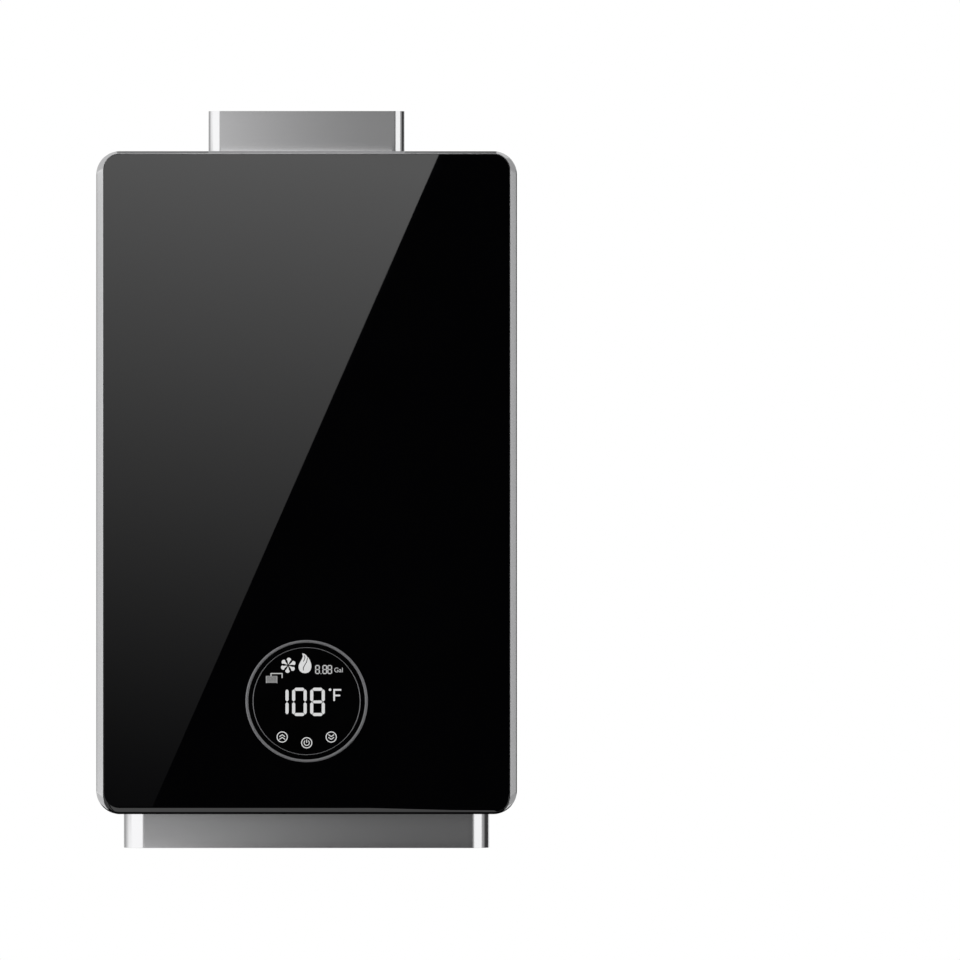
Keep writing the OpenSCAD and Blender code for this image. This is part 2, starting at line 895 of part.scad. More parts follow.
can_wall = 1.5;
can_end = 2;
rotor_wall = 9.7;
air_gap = 0.5;
rotor_r = shaft_r + rotor_wall;
rotor_in = 1;
stator_in = rotor_r + air_gap;
stator_gap = 2;
stator_back = volute_front + bearing_len + stator_gap;
stator_front = motor_front - can_end - bearing_len - stator_gap;

module motor_can() {
    seat_wall = 2.5;
    seat_out = bearing_r + seat_wall;
    vent_end = 9;
    vent_w = 5;
    color("gray") fan_place() difference() {
        rod_y(motor_d / 2, volute_front, motor_front);
        difference() {
            rod_y(motor_d / 2 - can_wall, volute_front + can_end, motor_front - can_end);
            rod_y(seat_out, volute_front, volute_front + bearing_len);
            rod_y(seat_out, motor_front - can_end - bearing_len, motor_front);
        }
        rod_y(bearing_r + run / 2, volute_front - cut, motor_front - can_end);
        for (a = [0 : 45 : 315]) rotate([0, a, 0])
            box(motor_d / 2 - can_wall - cut, motor_d / 2 + cut,
                volute_front + vent_end, motor_front - vent_end, -vent_w / 2, vent_w / 2);
    }
}

module motor_bearings() {
    color("peru") fan_place() {
        for (d = [volute_front, motor_front - can_end - bearing_len]) difference() {
            rod_y(bearing_r, d, d + bearing_len);
            rod_y(shaft_r + run, d - cut, d + bearing_len + cut);
        }
    }
}

module motor_stator() {
    tooth_tip = 2;
    yoke = 3;
    slot = 3.2;
    color("dimgray") fan_place() difference() {
        rod_y(motor_d / 2 - can_wall - slip / 2, stator_back, stator_front);
        rod_y(stator_in, stator_back - cut, stator_front + cut);
        for (a = [0 : 30 : 330]) rotate([0, a, 0])
            box(stator_in + tooth_tip, motor_d / 2 - can_wall - yoke,
                stator_back - cut, stator_front + cut, -slot / 2, slot / 2);
    }
}

module motor_rotor() {
    color("gray") fan_place() difference() {
        rod_y(rotor_r, stator_back + rotor_in, stator_front - rotor_in);
        rod_y(shaft_r + run / 2, stator_back, stator_front);
    }
}

// Fan proving switch

switch_x = 72;
switch_r = 18;
switch_t = 16;

module pressure_switch() {
    rim_t = 7.2;
    step = 2;
    ear_out = 6;
    ear_w = 10;
    ear_t = 2;
    color("whitesmoke") translate([switch_x, 0, switch_z]) difference() {
        union() {
            rod_y(switch_r, pan_t, pan_t + rim_t);
            rod_y(switch_r - step, pan_t, pan_t + switch_t);
            box(-switch_r - ear_out, switch_r + ear_out, pan_t, pan_t + ear_t, -ear_w / 2, ear_w / 2);
            rod_y(nipple_r, pan_t, pan_t + switch_t + nipple_len);
        }
        rod_y(nipple_r - nipple_wall, pan_t + switch_t, pan_t + switch_t + nipple_len + cut);
    }
}

module pressure_hose() {
    bore = nipple_r + run;
    wall = 1.5;
    bend = 12;
    color("whitesmoke") bent_tube([
        at(switch_x, pan_t + switch_t + slip, switch_z), at(switch_x, flue_d, switch_z),
        at(duct_half + sheet_t + slip, flue_d, switch_z)
    ], nipple_r + wall, bore, bend);
}

// Hood, exchanger and burner

hood_step = 9;
duct_out = 14;
duct_x0 = fan_x - eye_r - duct_out;
duct_x1 = fan_x + eye_r + duct_out;
duct_top = fan_z + eye_r + duct_out;

module hood_profile(inset) {
    low = hood_z - (inset > 0 ? cut : 0);
    polygon([
        [col_back + inset, low], [col_front - inset, low],
        [col_front - inset, hood_z + hood_step - inset / 2], [volute_back, hood_z + hood_h - inset],
        [col_back + inset, hood_z + hood_h - inset]
    ]);
}

module across(x0, x1) {
    translate([x0, 0, 0]) rotate([90, 0, -90]) mirror([0, 0, 1]) linear_extrude(x1 - x0) children();
}

module exhaust_hood() {
    color("silver") difference() {
        union() {
            across(-col_w / 2, col_w / 2) hood_profile(0);
            box(duct_x0, duct_x1, col_back, volute_back, hood_z + hood_h - cut, duct_top);
        }
        across(-col_w / 2 + sheet_t, col_w / 2 - sheet_t) hood_profile(sheet_t);
        box(duct_x0 + sheet_t, duct_x1 - sheet_t, col_back + sheet_t, volute_back - sheet_t,
            hood_z + hood_step, duct_top - sheet_t);
        fan_place() rod_y(eye_r, volute_back - sheet_t - cut, volute_back + cut);
    }
}

module column_plan(inset) {
    translate([-col_w / 2 + inset, -col_front + inset])
        square([col_w - 2 * inset, col_front - col_back - 2 * inset]);
}

module column_wall(z0, z1) {
    plate(z0, z1) difference() {
        column_plan(0);
        column_plan(sheet_t);
    }
}

electrode_pitch = 22;
electrode_up = 14;
electrode_z = shell_z + electrode_up;
electrode_r = 4;

module electrode_places() {
    for (k = [-1, 0, 1]) translate([k * electrode_pitch, 0, electrode_z]) children();
}

module combustion_shell() {
    color("peru") difference() {
        column_wall(shell_z, hood_z);
        for (i = [0 : tube_n - 1])
            translate(at(0, tube_at(i), tube_z)) rod_x(tube_r + slip / 2, -col_w, col_w);
        electrode_places() rod_y(electrode_r + slip, col_front - sheet_t - cut, col_front + cut);
    }
}

fin_side = 8;
fin_pitch = (col_w - 2 * sheet_t - 2 * fin_side) / (fin_n - 1);

module exchanger_fins() {
    color("peru") for (k = [0 : fin_n - 1])
        translate([(k - (fin_n - 1) / 2) * fin_pitch - fin_t / 2, 0, 0]) difference() {
            box(0, fin_t, col_back + sheet_t + fin_gap, col_front - sheet_t - fin_gap,
                tube_z - fin_h / 2, tube_z + fin_h / 2);
            for (i = [0 : tube_n - 1])
                translate(at(0, tube_at(i), tube_z)) rod_x(tube_r + run / 2, -cut, fin_t + cut);
        }
}

module exchanger_tubes() {
    color("peru") for (i = [0 : tube_n - 1])
        tube_leg(at(-tube_end, tube_at(i), tube_z), at(tube_end, tube_at(i), tube_z),
            tube_r, tube_r - tube_wall);
}

module return_bends() {
    color("peru") for (i = [0 : tube_n - 2]) {
        s = i % 2 == 0 ? -1 : 1;
        translate(at(s * tube_end, (tube_at(i) + tube_at(i + 1)) / 2, tube_z))
            rotate([0, 0, -90 * s]) rotate_extrude(angle = 180)
                translate([tube_pitch / 2, 0]) difference() {
                    circle(tube_r);
                    circle(tube_r - tube_wall);
                }
    }
}

module chamber_brackets() {
    from_side = 37;
    from_end = 16;
    half = 17;
    high = 8;
    sheet = 1.5;
    x = col_w / 2 - from_side;
    color("silver") for (s = [-1, 1], z = [shell_z + from_end, hood_z - from_end])
        translate([s * x, 0, z]) difference() {
            box(-half, half, pan_t, col_back, -high, high);
            box(-half + sheet, half - sheet, pan_t - cut, col_back - sheet, -high - cut, high + cut);
        }
}

module burner_places() {
    for (k = [0 : burner_n - 1])
        translate([(k - (burner_n - 1) / 2) * burner_pitch, 0, 0]) children();
}

module burner_tray() {
    jet_hole_r = 4.6;
    air_hole_r = 3;
    air_pitch = 16;
    color("silver") difference() {
        union() {
            column_wall(tray_z, shell_z);
            plate(tray_z, tray_z + sheet_t) column_plan(0);
        }
        burner_places() translate([0, 0, injector_z])
            rod_y(jet_hole_r, col_front - sheet_t - cut, col_front + cut);
        for (k = [0 : burner_n - 2], d = [col_back + air_pitch : air_pitch : col_front - air_pitch])
            translate([(k + 1 - burner_n / 2) * burner_pitch, -d, 0])
                rod_z(air_hole_r, tray_z - cut, tray_z + sheet_t + cut);
    }
}

// A blade has a venturi tube low down, a narrow waist and a head with flame slots on top
module burner_blades() {
    gap_back = 2;
    gap_front = 5;
    back = col_back + sheet_t + gap_back;
    front = col_front - sheet_t - gap_front;
    wall = 1;
    mouth_wall = 1.2;
    waist = 14;
    top_gap = 6;
    top = tray_h - top_gap;
    half = burner_t / 2;
    slot = 2;
    slot_first = 4;
    slot_step = 6;
    tube_up = injector_z - tray_z - sheet_t;
    color("slategray") burner_places() translate([0, 0, tray_z + sheet_t]) difference() {
        union() {
            box(-half, half, back, front, waist, top);
            box(-half / 2, half / 2, back, front, 0, waist);
            translate([0, 0, tube_up]) rod_y(half, back, front);
        }
        box(-half + wall, half - wall, back + wall, front - wall, waist + wall, top - wall);
        translate([0, 0, tube_up]) rod_y(half - mouth_wall, back + wall, front + cut);
        for (d = [back + slot_first : slot_step : front - slot_first])
            box(-half + 2 * wall, half - 2 * wall, d, d + slot, top - 2 * wall, top + cut);
    }
}

injector_r = 3;
gas_bore = gas_pipe_d / 2 - gas_wall;

module gas_manifold() {
    bore = 3.2;
    from_side = 4;
    end = 4;
    reach = col_w / 2 - from_side;
    color("lightgray") difference() {
        box(-reach, reach, col_front, col_front + manifold_d, manifold_z, manifold_z + manifold_h);
        translate(at(0, manifold_mid, injector_z)) rod_x(bore, -reach + end, reach - end);
        translate([feed_x, -manifold_mid, 0]) rod_z(gas_bore, manifold_z - cut, injector_z);
        burner_places() translate([0, 0, injector_z]) rod_y(injector_r + run, col_front - cut, manifold_mid);
    }
}

module gas_injectors() {
    tip_r = 1.6;
    tip = 7;
    shoulder = 4;
    seated = 5;
    jet_r = 0.7;
    color("gold") burner_places() translate([0, 0, injector_z]) difference() {
        rotate([90, 0, 0]) rotate_extrude() polygon([
            [0, col_front - tip], [tip_r, col_front - tip], [injector_r, col_front - shoulder],
            [injector_r, col_front + seated], [0, col_front + seated]
        ]);
        rod_y(jet_r, col_front - tip - cut, col_front + seated + cut);
    }
}

module gas_feed_pipe() {
    color("lightgray") bent_tube([
        at(feed_x, mid_d, valve_z + valve_h), at(feed_x, mid_d, feed_z),
        at(feed_x, manifold_mid, feed_z), at(feed_x, manifold_mid, manifold_z)
    ], gas_pipe_d / 2, gas_bore, bend_r);
}

// Gas valve

valve_x0 = valve_x - valve_w / 2;
valve_x1 = valve_x + valve_w / 2;
shutoff_seat = valve_x1 - chamber_len;
modulating_seat = valve_x0 + chamber_len;
plunger_r = 3.5;
coil_end = 3;

module gas_valve_body() {
    boss_wall = 6;
    hole_in = 8;
    hole_r = 2.5;
    face = mid_d + valve_deep / 2;
    color("lightgray") difference() {
        union() {
            box(valve_x0, valve_x1, mid_d - valve_deep / 2, face, valve_z, valve_z + valve_h);
            translate([0, -mid_d, 0]) rod_z(port_d / 2 + boss_wall, valve_z - valve_boss, valve_z + cut);
        }
        translate(at(0, mid_d, shutoff_z)) rod_x(chamber_r, shutoff_seat, valve_x1 + cut);
        translate(at(0, mid_d, modulating_z)) rod_x(chamber_r, valve_x0 - cut, modulating_seat);
        translate(at(0, mid_d, shutoff_z)) rod_x(seat_r, valve_x - seat_r, shutoff_seat + cut);
        translate(at(0, mid_d, modulating_z)) rod_x(seat_r, modulating_seat - cut, valve_x + seat_r);
        translate([valve_x, -mid_d, 0]) rod_z(seat_r, shutoff_z, modulating_z);
        translate([0, -mid_d, 0]) rod_z(port_d / 2, valve_z - valve_boss - cut, shutoff_z);
        translate([feed_x, -mid_d, 0]) rod_z(gas_bore, modulating_z, valve_z + valve_h + cut);
        for (x = [valve_x0 + hole_in, valve_x1 - hole_in], z = [hole_in, valve_h - hole_in])
            translate([x, 0, valve_z + z]) rod_y(hole_r, face - hole_in, face + cut);
    }
}

// Coil whose bore runs along +X from its face at x = 0
module valve_coil(bore) {
    ring = coil_d / 2;
    cheek = 4;
    waist = ring - 3;
    rotate([0, 90, 0]) rotate_extrude() polygon([
        [bore, 0], [ring, 0], [ring, cheek], [waist, cheek], [waist, coil_len - cheek],
        [ring, coil_len - cheek], [ring, coil_len], [0, coil_len],
        [0, coil_len - coil_end], [bore, coil_len - coil_end]
    ]);
}

// Valve disc and stem along +X, seated a slip away from the seat at x = 0
module valve_plunger(stroke) {
    disc_gap = 2;
    disc_t = 3;
    end_gap = 2;
    stem_end = chamber_len + coil_len - coil_end - stroke - end_gap;
    rod_x(chamber_r - disc_gap, slip, slip + disc_t);
    rod_x(plunger_r, slip + disc_t / 2, stem_end);
}

module shutoff_coil() {
    color("darkslategray") translate(at(valve_x1, mid_d, shutoff_z)) valve_coil(plunger_r + run);
}

module shutoff_plunger() {
    color("silver") translate(at(shutoff_seat, mid_d, shutoff_z)) valve_plunger(shutoff_stroke);
}

module modulating_coil() {
    color("darkslategray") translate(at(valve_x0, mid_d, modulating_z)) mirror([1, 0, 0])
        valve_coil(plunger_r + run);
}

module modulating_plunger() {
    color("silver") translate(at(modulating_seat, mid_d, modulating_z)) mirror([1, 0, 0])
        valve_plunger(modulating_stroke);
}

// Water and gas connections

// Outside of a threaded connection about the Z axis, with the flange that clamps it to the bottom plate
module port_body(top, top_r) {
    rod_z(neck_r, port_z, thread_top);
    rod_z(neck_r - relief, port_z, deck_z + flange_t);
    rod_z(flange_r, deck_z, deck_z + flange_t);
    rod_z(top_r, deck_z, top);
}

module gas_inlet_fitting() {
    top = valve_z - valve_boss;
    color("gold") translate([0, -mid_d, 0]) difference() {
        port_body(top, port_d / 2 + port_wall);
        rod_z(port_d / 2, port_z - cut, top + cut);
    }
}

module hot_outlet_fitting() {
    hex_in = 2;
    hex_h = 8;
    color("gold") translate([-pipe_x, -mid_d, 0]) difference() {
        union() {
            port_body(hot_top, port_d / 2 + port_wall);
            rod_z(nut_r - hex_in, hot_top - hex_h, hot_top, $fn = 6);
        }
        rod_z(port_d / 2, port_z - cut, hot_top + cut);
    }
}

drain_drop = 9;
drain_z = plate_low - drain_drop;
filter_room = 1;
filter_r = port_d / 2 + filter_room;

module cold_inlet_body() {
    branch_z = deck_z + 20;
    branch_r = 8.5;
    branch_bore = 4;
    shoulder = 1;
    wall = 2;
    rim = 6;
    color("gold") difference() {
        union() {
            translate([pipe_x, -mid_d, 0]) {
                port_body(inlet_top, neck_r + wall);
                rod_z(sensor_d / 2, inlet_top - rim, inlet_top);
            }
            translate(at(0, mid_d, branch_z)) rod_x(branch_r, drain_x, pipe_x);
            translate([drain_x, -mid_d, 0]) {
                rod_z(drain_spigot_r, drain_z, branch_z);
                rod_z(drain_spigot_r + shoulder, deck_z, branch_z + branch_r);
            }
        }
        translate([pipe_x, -mid_d, 0]) rod_z(filter_r, port_z - cut, inlet_top + cut);
        translate(at(0, mid_d, branch_z)) rod_x(branch_bore, drain_x, pipe_x);
        translate([drain_x, -mid_d, 0]) rod_z(drain_bore_r, drain_z - cut, branch_z);
    }
}

module inlet_filter() {
    out_r = filter_r - run;
    up = 6;
    long = 24;
    rim_h = 3;
    rim_wall = 1.2;
    cage_r = out_r - rim_wall / 2;
    cage_wall = 1;
    window = [6, 2.4, 3];
    window_step = 5;
    color("whitesmoke") translate([pipe_x, -mid_d, port_z + up]) difference() {
        union() {
            pipe_z(out_r, out_r - rim_wall, 0, rim_h);
            pipe_z(cage_r, cage_r - cage_wall, 0, long);
            rod_z(cage_r, long - cage_wall, long);
        }
        for (a = [0 : 45 : 315], z = [window_step : window_step : long - window_step - cage_wall])
            rotate([0, 0, a]) translate([cage_r - window[0] / 2, -window[1] / 2, z]) cube(window);
    }
}

// Flats face sideways, so that a narrow skirt still clears the nuts
module fitting_nuts() {
    color("gold") port_places() difference() {
        rotate([0, 0, 30]) rod_z(nut_r, plate_low - nut_t, plate_low, $fn = 6);
        rod_z(neck_r + slip, plate_low - nut_t - cut, plate_low + cut);
    }
}

module drain_tap() {
    head_r = 10;
    head_h = 7;
    wing_t = 4;
    wing_h = 12;
    plug = 4;
    head_z = drain_z - slip;
    color("gray") translate([drain_x, -mid_d, 0]) {
        rod_z(drain_bore_r - run, head_z - cut, deck_z + plug);
        rod_z(head_r, head_z - head_h, head_z);
        translate([0, 0, head_z - wing_h]) cube([2 * head_r, wing_t, wing_h], center = true);
    }
}

gland_wall = 4;
gland_r = cable_d / 2 + gland_wall;

module cable_gland() {
    dome_h = 12;
    lead = 5;
    hex_out = 4;
    hex_h = 6;
    lock_h = 5;
    top = deck_z + 8;
    dome_r = gland_r + 2;
    tip_r = gland_r - 1;
    color("dimgray") translate([gland_x, -mid_d, 0]) difference() {
        union() {
            rod_z(gland_r, plate_low - hex_h, top);
            rod_z(gland_r + hex_out, plate_low - hex_h, plate_low, $fn = 6);
            rod_z(gland_r + hex_out, deck_z, deck_z + lock_h, $fn = 6);
            translate([0, 0, plate_low - hex_h - dome_h]) rotate_extrude() polygon([
                [0, 0], [tip_r, 0], [dome_r, lead], [dome_r, dome_h], [0, dome_h]
            ]);
        }
        rod_z(cable_d / 2, plate_low - hex_h - dome_h - cut, top + cut);
    }
}

// Water train

turbine_len = 16;
turbine_gap = 1;
turbine_room = 0.8;
axle_r = 1;
spider_t = 2;
sensor_bore = turbine_d / 2 + turbine_room;
turbine_z = (inlet_top + sensor_top) / 2 - turbine_len / 2;

// Three-armed bearing plate across the flow
module spider(z) {
    hub = 3;
    arm = 2;
    rod_z(hub, z, z + spider_t);
    for (a = [0, 120, 240]) rotate([0, 0, a])
        translate([0, -arm / 2, z]) cube([sensor_bore + cut, arm, spider_t]);
}

module flow_sensor_body() {
    end = 6;
    plug_out = 8;
    plug_w = 18;
    low = turbine_z - turbine_gap;
    high = turbine_z + turbine_len + turbine_gap;
    color("darkslategray") translate([pipe_x, -mid_d, 0]) {
        difference() {
            union() {
                rod_z(sensor_d / 2, inlet_top, sensor_top);
                box(0, sensor_d / 2 + plug_out, -plug_w / 2, plug_w / 2, low, high);
            }
            rod_z(sensor_bore, inlet_top - cut, sensor_top - end);
            rod_z(tube_r - tube_wall, inlet_top, sensor_top + cut);
        }
        spider(low - spider_t);
        spider(high);
        rod_z(axle_r, low - spider_t / 2, high + spider_t / 2);
    }
}

module flow_turbine() {
    hub_r = 4;
    root = 2;
    vane_n = 6;
    vane_t = 1.2;
    pitch = 30;
    half = (turbine_len - vane_t) / 2 / cos(pitch);
    reach = sqrt(pow(turbine_d / 2, 2) - pow(half * sin(pitch) + vane_t / 2, 2));
    color("whitesmoke") translate([pipe_x, -mid_d, turbine_z]) difference() {
        union() {
            rod_z(hub_r, 0, turbine_len, $fn = 2 * vane_n);
            for (k = [0 : vane_n - 1]) rotate([0, 0, k * 360 / vane_n])
                translate([0, 0, turbine_len / 2]) rotate([pitch, 0, 0])
                    translate([root, -vane_t / 2, -half]) cube([reach - root, vane_t, 2 * half]);
        }
        rod_z(axle_r + run, -cut, turbine_len + cut);
    }
}

module cold_riser() {
    color("peru") bent_tube([
        at(pipe_x, mid_d, sensor_top), at(pipe_x, mid_d, cold_jog), at(pipe_x, tube_at(0), cold_jog),
        at(pipe_x, tube_at(0), tube_z), at(tube_end, tube_at(0), tube_z)
    ], tube_r, tube_r - tube_wall, bend_r);
}

module hot_downpipe() {
    color("peru") bent_tube([
        at(-pipe_x, mid_d, hot_top), at(-pipe_x, mid_d, hot_jog), at(-pipe_x, tube_at(tube_n - 1), hot_jog),
        at(-pipe_x, tube_at(tube_n - 1), tube_z), at(-tube_end, tube_at(tube_n - 1), tube_z)
    ], tube_r, tube_r - tube_wall, bend_r);
}

// Controls

control_d = 32;
control_front = deck_front - pan_t - slip;
control_back = control_front - control_d;
control_in = 3;
control_x = -deck_half + control_in;
control_wall = 2;

module control_box() {
    cable_r = 4;
    cable_step = 14;
    cable_first = 16;
    cable_back = 10;
    top = deck_z + control_h;
    color("darkslategray") difference() {
        box(control_x, control_x + control_w, control_back, control_front, deck_z, top);
        box(control_x + control_wall, control_x + control_w - control_wall,
            control_back + control_wall, control_front + cut, deck_z + control_wall, top - control_wall);
        for (k = [0 : 3])
            translate(at(control_x + control_w - cable_first - cable_step * k, control_back + cable_back, 0))
                rod_z(cable_r, top - control_wall - cut, top + cut);
    }
}

// Board on four pillars, with a transformer, three relays, three plugs and two capacitors
module control_board() {
    edge = control_wall + 3;
    x0 = control_x + edge;
    x1 = control_x + control_w - edge;
    z0 = deck_z + edge;
    z1 = deck_z + control_h - edge;
    pillar = 6;
    pillar_in = 5;
    pillar_r = 3;
    face = control_back + control_wall + pillar;
    top = face + board_t;
    transformer = [34, 18, 30];
    relay = [16, 13, 16];
    plug = [12, 9, 10];
    cap_r = 7;
    cap_h = 19;
    gap = 6;
    first = 10;
    relay_x = x0 + transformer[0] + 2 * gap;
    color("darkgreen") {
        box(x0, x1, face, top, z0, z1);
        for (x = [x0 + pillar_in, x1 - pillar_in], z = [z0 + pillar_in, z1 - pillar_in])
            translate([x, 0, z]) rod_y(pillar_r, control_back + control_wall, face);
        translate([x0 + gap, -top - transformer[1], z0 + first]) cube(transformer);
        for (k = [0 : 2])
            translate([relay_x, -top - relay[1], z0 + first + k * (relay[2] + gap)]) cube(relay);
        for (k = [0 : 2])
            translate([x0 + gap + k * (plug[0] + gap), -top - plug[1], z1 - plug[2] - gap]) cube(plug);
        for (k = [0 : 1])
            translate([x0 + 2 * first + 3 * gap * k, 0, z0 + 6 * first]) rod_y(cap_r, top, top + cap_h);
    }
}

module igniter_module() {
    size = [36, 26, 56];
    from_rim = 3;
    up = 14;
    lead_r = 3;
    lead_len = 8;
    lead_step = 10;
    lid_in = 8;
    lid_t = 4;
    lid_low = 24;
    x0 = pan_in_x - from_rim - size[0];
    z0 = hood_z + up;
    face = pan_t + size[1];
    color("dimgray") {
        box(x0, x0 + size[0], pan_t, face, z0, z0 + size[2]);
        for (k = [-1, 0, 1])
            translate([x0 + size[0] / 2 + k * lead_step, 0, z0 + lead_step])
                rod_y(lead_r, face, face + lead_len);
        box(x0 + lid_in, x0 + size[0] - lid_in, face, face + lid_t, z0 + lid_low, z0 + size[2] - lid_in);
    }
}

// Ceramic sleeves with a collar on the chamber's front, and the wires through them
module ignition_electrodes() {
    pin = 1.2;
    inside = 10;
    outside = 9;
    collar_out = 3;
    wire_in = 30;
    wire_out = 12;
    color("white") electrode_places() {
        difference() {
            union() {
                rod_y(electrode_r, col_front - inside, col_front + outside);
                rod_y(electrode_r + collar_out, col_front, col_front + collar_out);
            }
            rod_y(pin + run / 2, col_front - inside - cut, col_front + outside + cut);
        }
        rod_y(pin, col_front - wire_in, col_front + wire_out);
    }
}

// Probe on a clip around an upright water pipe
module pipe_probe() {
    clip_t = 1.5;
    clip_h = 10;
    probe_r = 3;
    probe_h = 18;
    probe_out = 2.5;
    difference() {
        union() {
            rod_z(tube_r + clip_t, -clip_h / 2, clip_h / 2);
            translate([0, -(tube_r + probe_out), 0]) rod_z(probe_r, -probe_h / 2, probe_h / 2);
        }
        rod_z(tube_r + run, -probe_h / 2 - cut, probe_h / 2 + cut);
    }
}

// Overheat cut-out on the chamber's front, and a probe on each water pipe
module temperature_sensors() {
    base_r = 9;
    base_t = 5;
    cap_t = 4;
    ear = [28, 1.5, 8];
    below = 60;
    color("silver") {
        translate([col_w * 0.29, 0, (shell_z + tube_z) / 2]) {
            rod_y(base_r, col_front, col_front + base_t);
            rod_y(base_r * 2 / 3, col_front + base_t, col_front + base_t + cap_t);
            box(-ear[0] / 2, ear[0] / 2, col_front, col_front + ear[1], -ear[2] / 2, ear[2] / 2);
        }
        translate(at(pipe_x, tube_at(0), tube_z - below)) pipe_probe();
        translate(at(-pipe_x, tube_at(tube_n - 1), tube_z - below)) pipe_probe();
    }
}

back_pan();
bottom_plate();
front_cover();
front_frame();
glass_panel();
glass_gasket();
display_ring();
display_lens();
display_housing();
display_board();
touch_pads();
flue_shroud();
bottom_skirt();
cover_screws();
trim_screws();
flue_collar();
flue_gasket();
draught_flap();
fan_volute();
volute_plate();
fan_impeller();
fan_shaft();
motor_can();
motor_stator();
motor_rotor();
motor_bearings();
pressure_switch();
pressure_hose();
exhaust_hood();
combustion_shell();
exchanger_fins();
exchanger_tubes();
return_bends();
chamber_brackets();
burner_tray();
burner_blades();
gas_manifold();
gas_injectors();
gas_feed_pipe();
gas_valve_body();
shutoff_coil();
shutoff_plunger();
modulating_coil();
modulating_plunger();
gas_inlet_fitting();
cold_inlet_body();
inlet_filter();
flow_sensor_body();
flow_turbine();
cold_riser();
hot_downpipe();
hot_outlet_fitting();
fitting_nuts();
drain_tap();
cable_gland();
control_box();
control_board();
igniter_module();
ignition_electrodes();
temperature_sensors();
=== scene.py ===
"""The looks of a wall-hung tankless gas water heater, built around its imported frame."""
import json
import math
from contextlib import contextmanager

import bmesh
import bpy
from mathutils import Matrix, Vector


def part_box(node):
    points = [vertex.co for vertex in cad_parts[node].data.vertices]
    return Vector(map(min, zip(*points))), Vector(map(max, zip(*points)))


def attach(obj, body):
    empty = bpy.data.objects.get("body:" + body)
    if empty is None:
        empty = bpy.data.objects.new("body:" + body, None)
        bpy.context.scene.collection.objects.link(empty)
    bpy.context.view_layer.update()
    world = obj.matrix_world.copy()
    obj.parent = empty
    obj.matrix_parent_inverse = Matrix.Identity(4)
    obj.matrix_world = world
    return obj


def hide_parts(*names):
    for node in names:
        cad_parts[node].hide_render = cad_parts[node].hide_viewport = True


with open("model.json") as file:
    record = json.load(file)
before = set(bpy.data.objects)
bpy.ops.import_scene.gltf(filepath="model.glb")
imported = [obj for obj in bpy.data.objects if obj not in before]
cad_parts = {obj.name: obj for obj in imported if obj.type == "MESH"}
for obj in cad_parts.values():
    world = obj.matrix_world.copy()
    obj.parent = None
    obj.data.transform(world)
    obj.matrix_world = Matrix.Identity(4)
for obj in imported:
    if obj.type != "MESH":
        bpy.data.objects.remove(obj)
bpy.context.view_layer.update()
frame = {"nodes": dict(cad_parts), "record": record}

# Sizes in metres. What a CAD node gives is read from the frame
MM = 0.001
FRAME_R = 18.5 * MM
FRAME_BEVEL = 4 * MM
FRAME_LAND = 0.7 * MM
FRAME_SIDE_LAND = 0.5 * MM
FRAME_EASE = 0.7 * MM
FRAME_EASE_DEPTH = 1.2 * MM
EASE_ENDS = 0.1 * MM
COVER_LIP = 2.7 * MM
LEDGE = 9 * MM
GLASS_R = 12.5 * MM
GLASS_SIDE = 0.4 * MM
GLASS_EDGE = 0.5 * MM
GLASS_ROLL = 7 * MM
GLASS_ROLL_DEPTH = 1.6 * MM
GLASS_FOOT = 0.02 * MM
ROLL_TILTS = range(48, 3, -4)
RING_W = 2.2 * MM
RING_GAP = 0.3 * MM
GROOVE_R = 42 * MM
SHROUD_R = 10 * MM
SKIRT_R = 17 * MM
SKIRT_HEM = 4 * MM
SKIRT_FOOT = 11 * MM
SHEET = 1 * MM
SHEET_EDGE = 0.15 * MM
PAN_SHEET = 1.2 * MM
COVER_R = 15.5 * MM
PAN_R = 14.2 * MM
FLUE_HOLE_R = 36 * MM
FLUE_DEPTH = 63 * MM
SHORT_CUTTER = 10 * MM
CUTTER = 20 * MM
# The rounding of a bar's end, as a share of its width
ROUND_END = 0.49

# Steps of a rounded corner, sides of a round piece, and the angle up to which a turned one is shaded smooth
CORNER_STEPS = 14
ROUND = 96
TURNED = 30

FRONT = (0, -1, 0)
BACK = (0, 1, 0)
DOWN = (0, 0, -1)
AXIS = {"X": Vector((1, 0, 0)), "Y": Vector(FRONT), "Z": Vector((0, 0, 1))}

# The photograph's frame: pixels, and the heater's middle in it
PIXELS = 960
PIXEL = 0.784 * MM
PHOTO_X = 306.6
PHOTO_Z = 482.6
LENS = 600
SENSOR = 36


def from_photo(x, y):
    """The point (x, z) of the front at a pixel of the photograph."""
    return (x - PHOTO_X) * PIXEL, (PHOTO_Z - y) * PIXEL


# Modelling helpers

def deselect():
    bpy.ops.object.select_all(action="DESELECT")


def only(piece):
    """Leaves one piece selected and active."""
    deselect()
    piece.select_set(True)
    bpy.context.view_layer.objects.active = piece
    return piece


@contextmanager
def editing(piece):
    only(piece)
    bpy.ops.object.mode_set(mode="EDIT")
    bpy.ops.mesh.select_all(action="DESELECT")
    yield
    bpy.ops.object.mode_set(mode="OBJECT")


def pick(piece, kind, test):
    """Selects, in edit mode, the faces, edges or vertices that pass a test."""
    bpy.ops.mesh.select_mode(type=kind)
    bpy.ops.mesh.select_all(action="DESELECT")
    shape = bmesh.from_edit_mesh(piece.data)
    shape.normal_update()
    for part in {"FACE": shape.faces, "EDGE": shape.edges, "VERT": shape.verts}[kind]:
        part.select_set(bool(test(part)))
    shape.select_flush_mode()
    bmesh.update_edit_mesh(piece.data)


def facing(direction, depth=None, within=0.01 * MM):
    """A test for the faces that look along a direction, at one depth if it is given."""
    aim = Vector(direction)

    def test(face):
        there = depth is None or abs(face.calc_center_median().y - depth) < within
        return there and face.normal.dot(aim) > 0.99
    return test


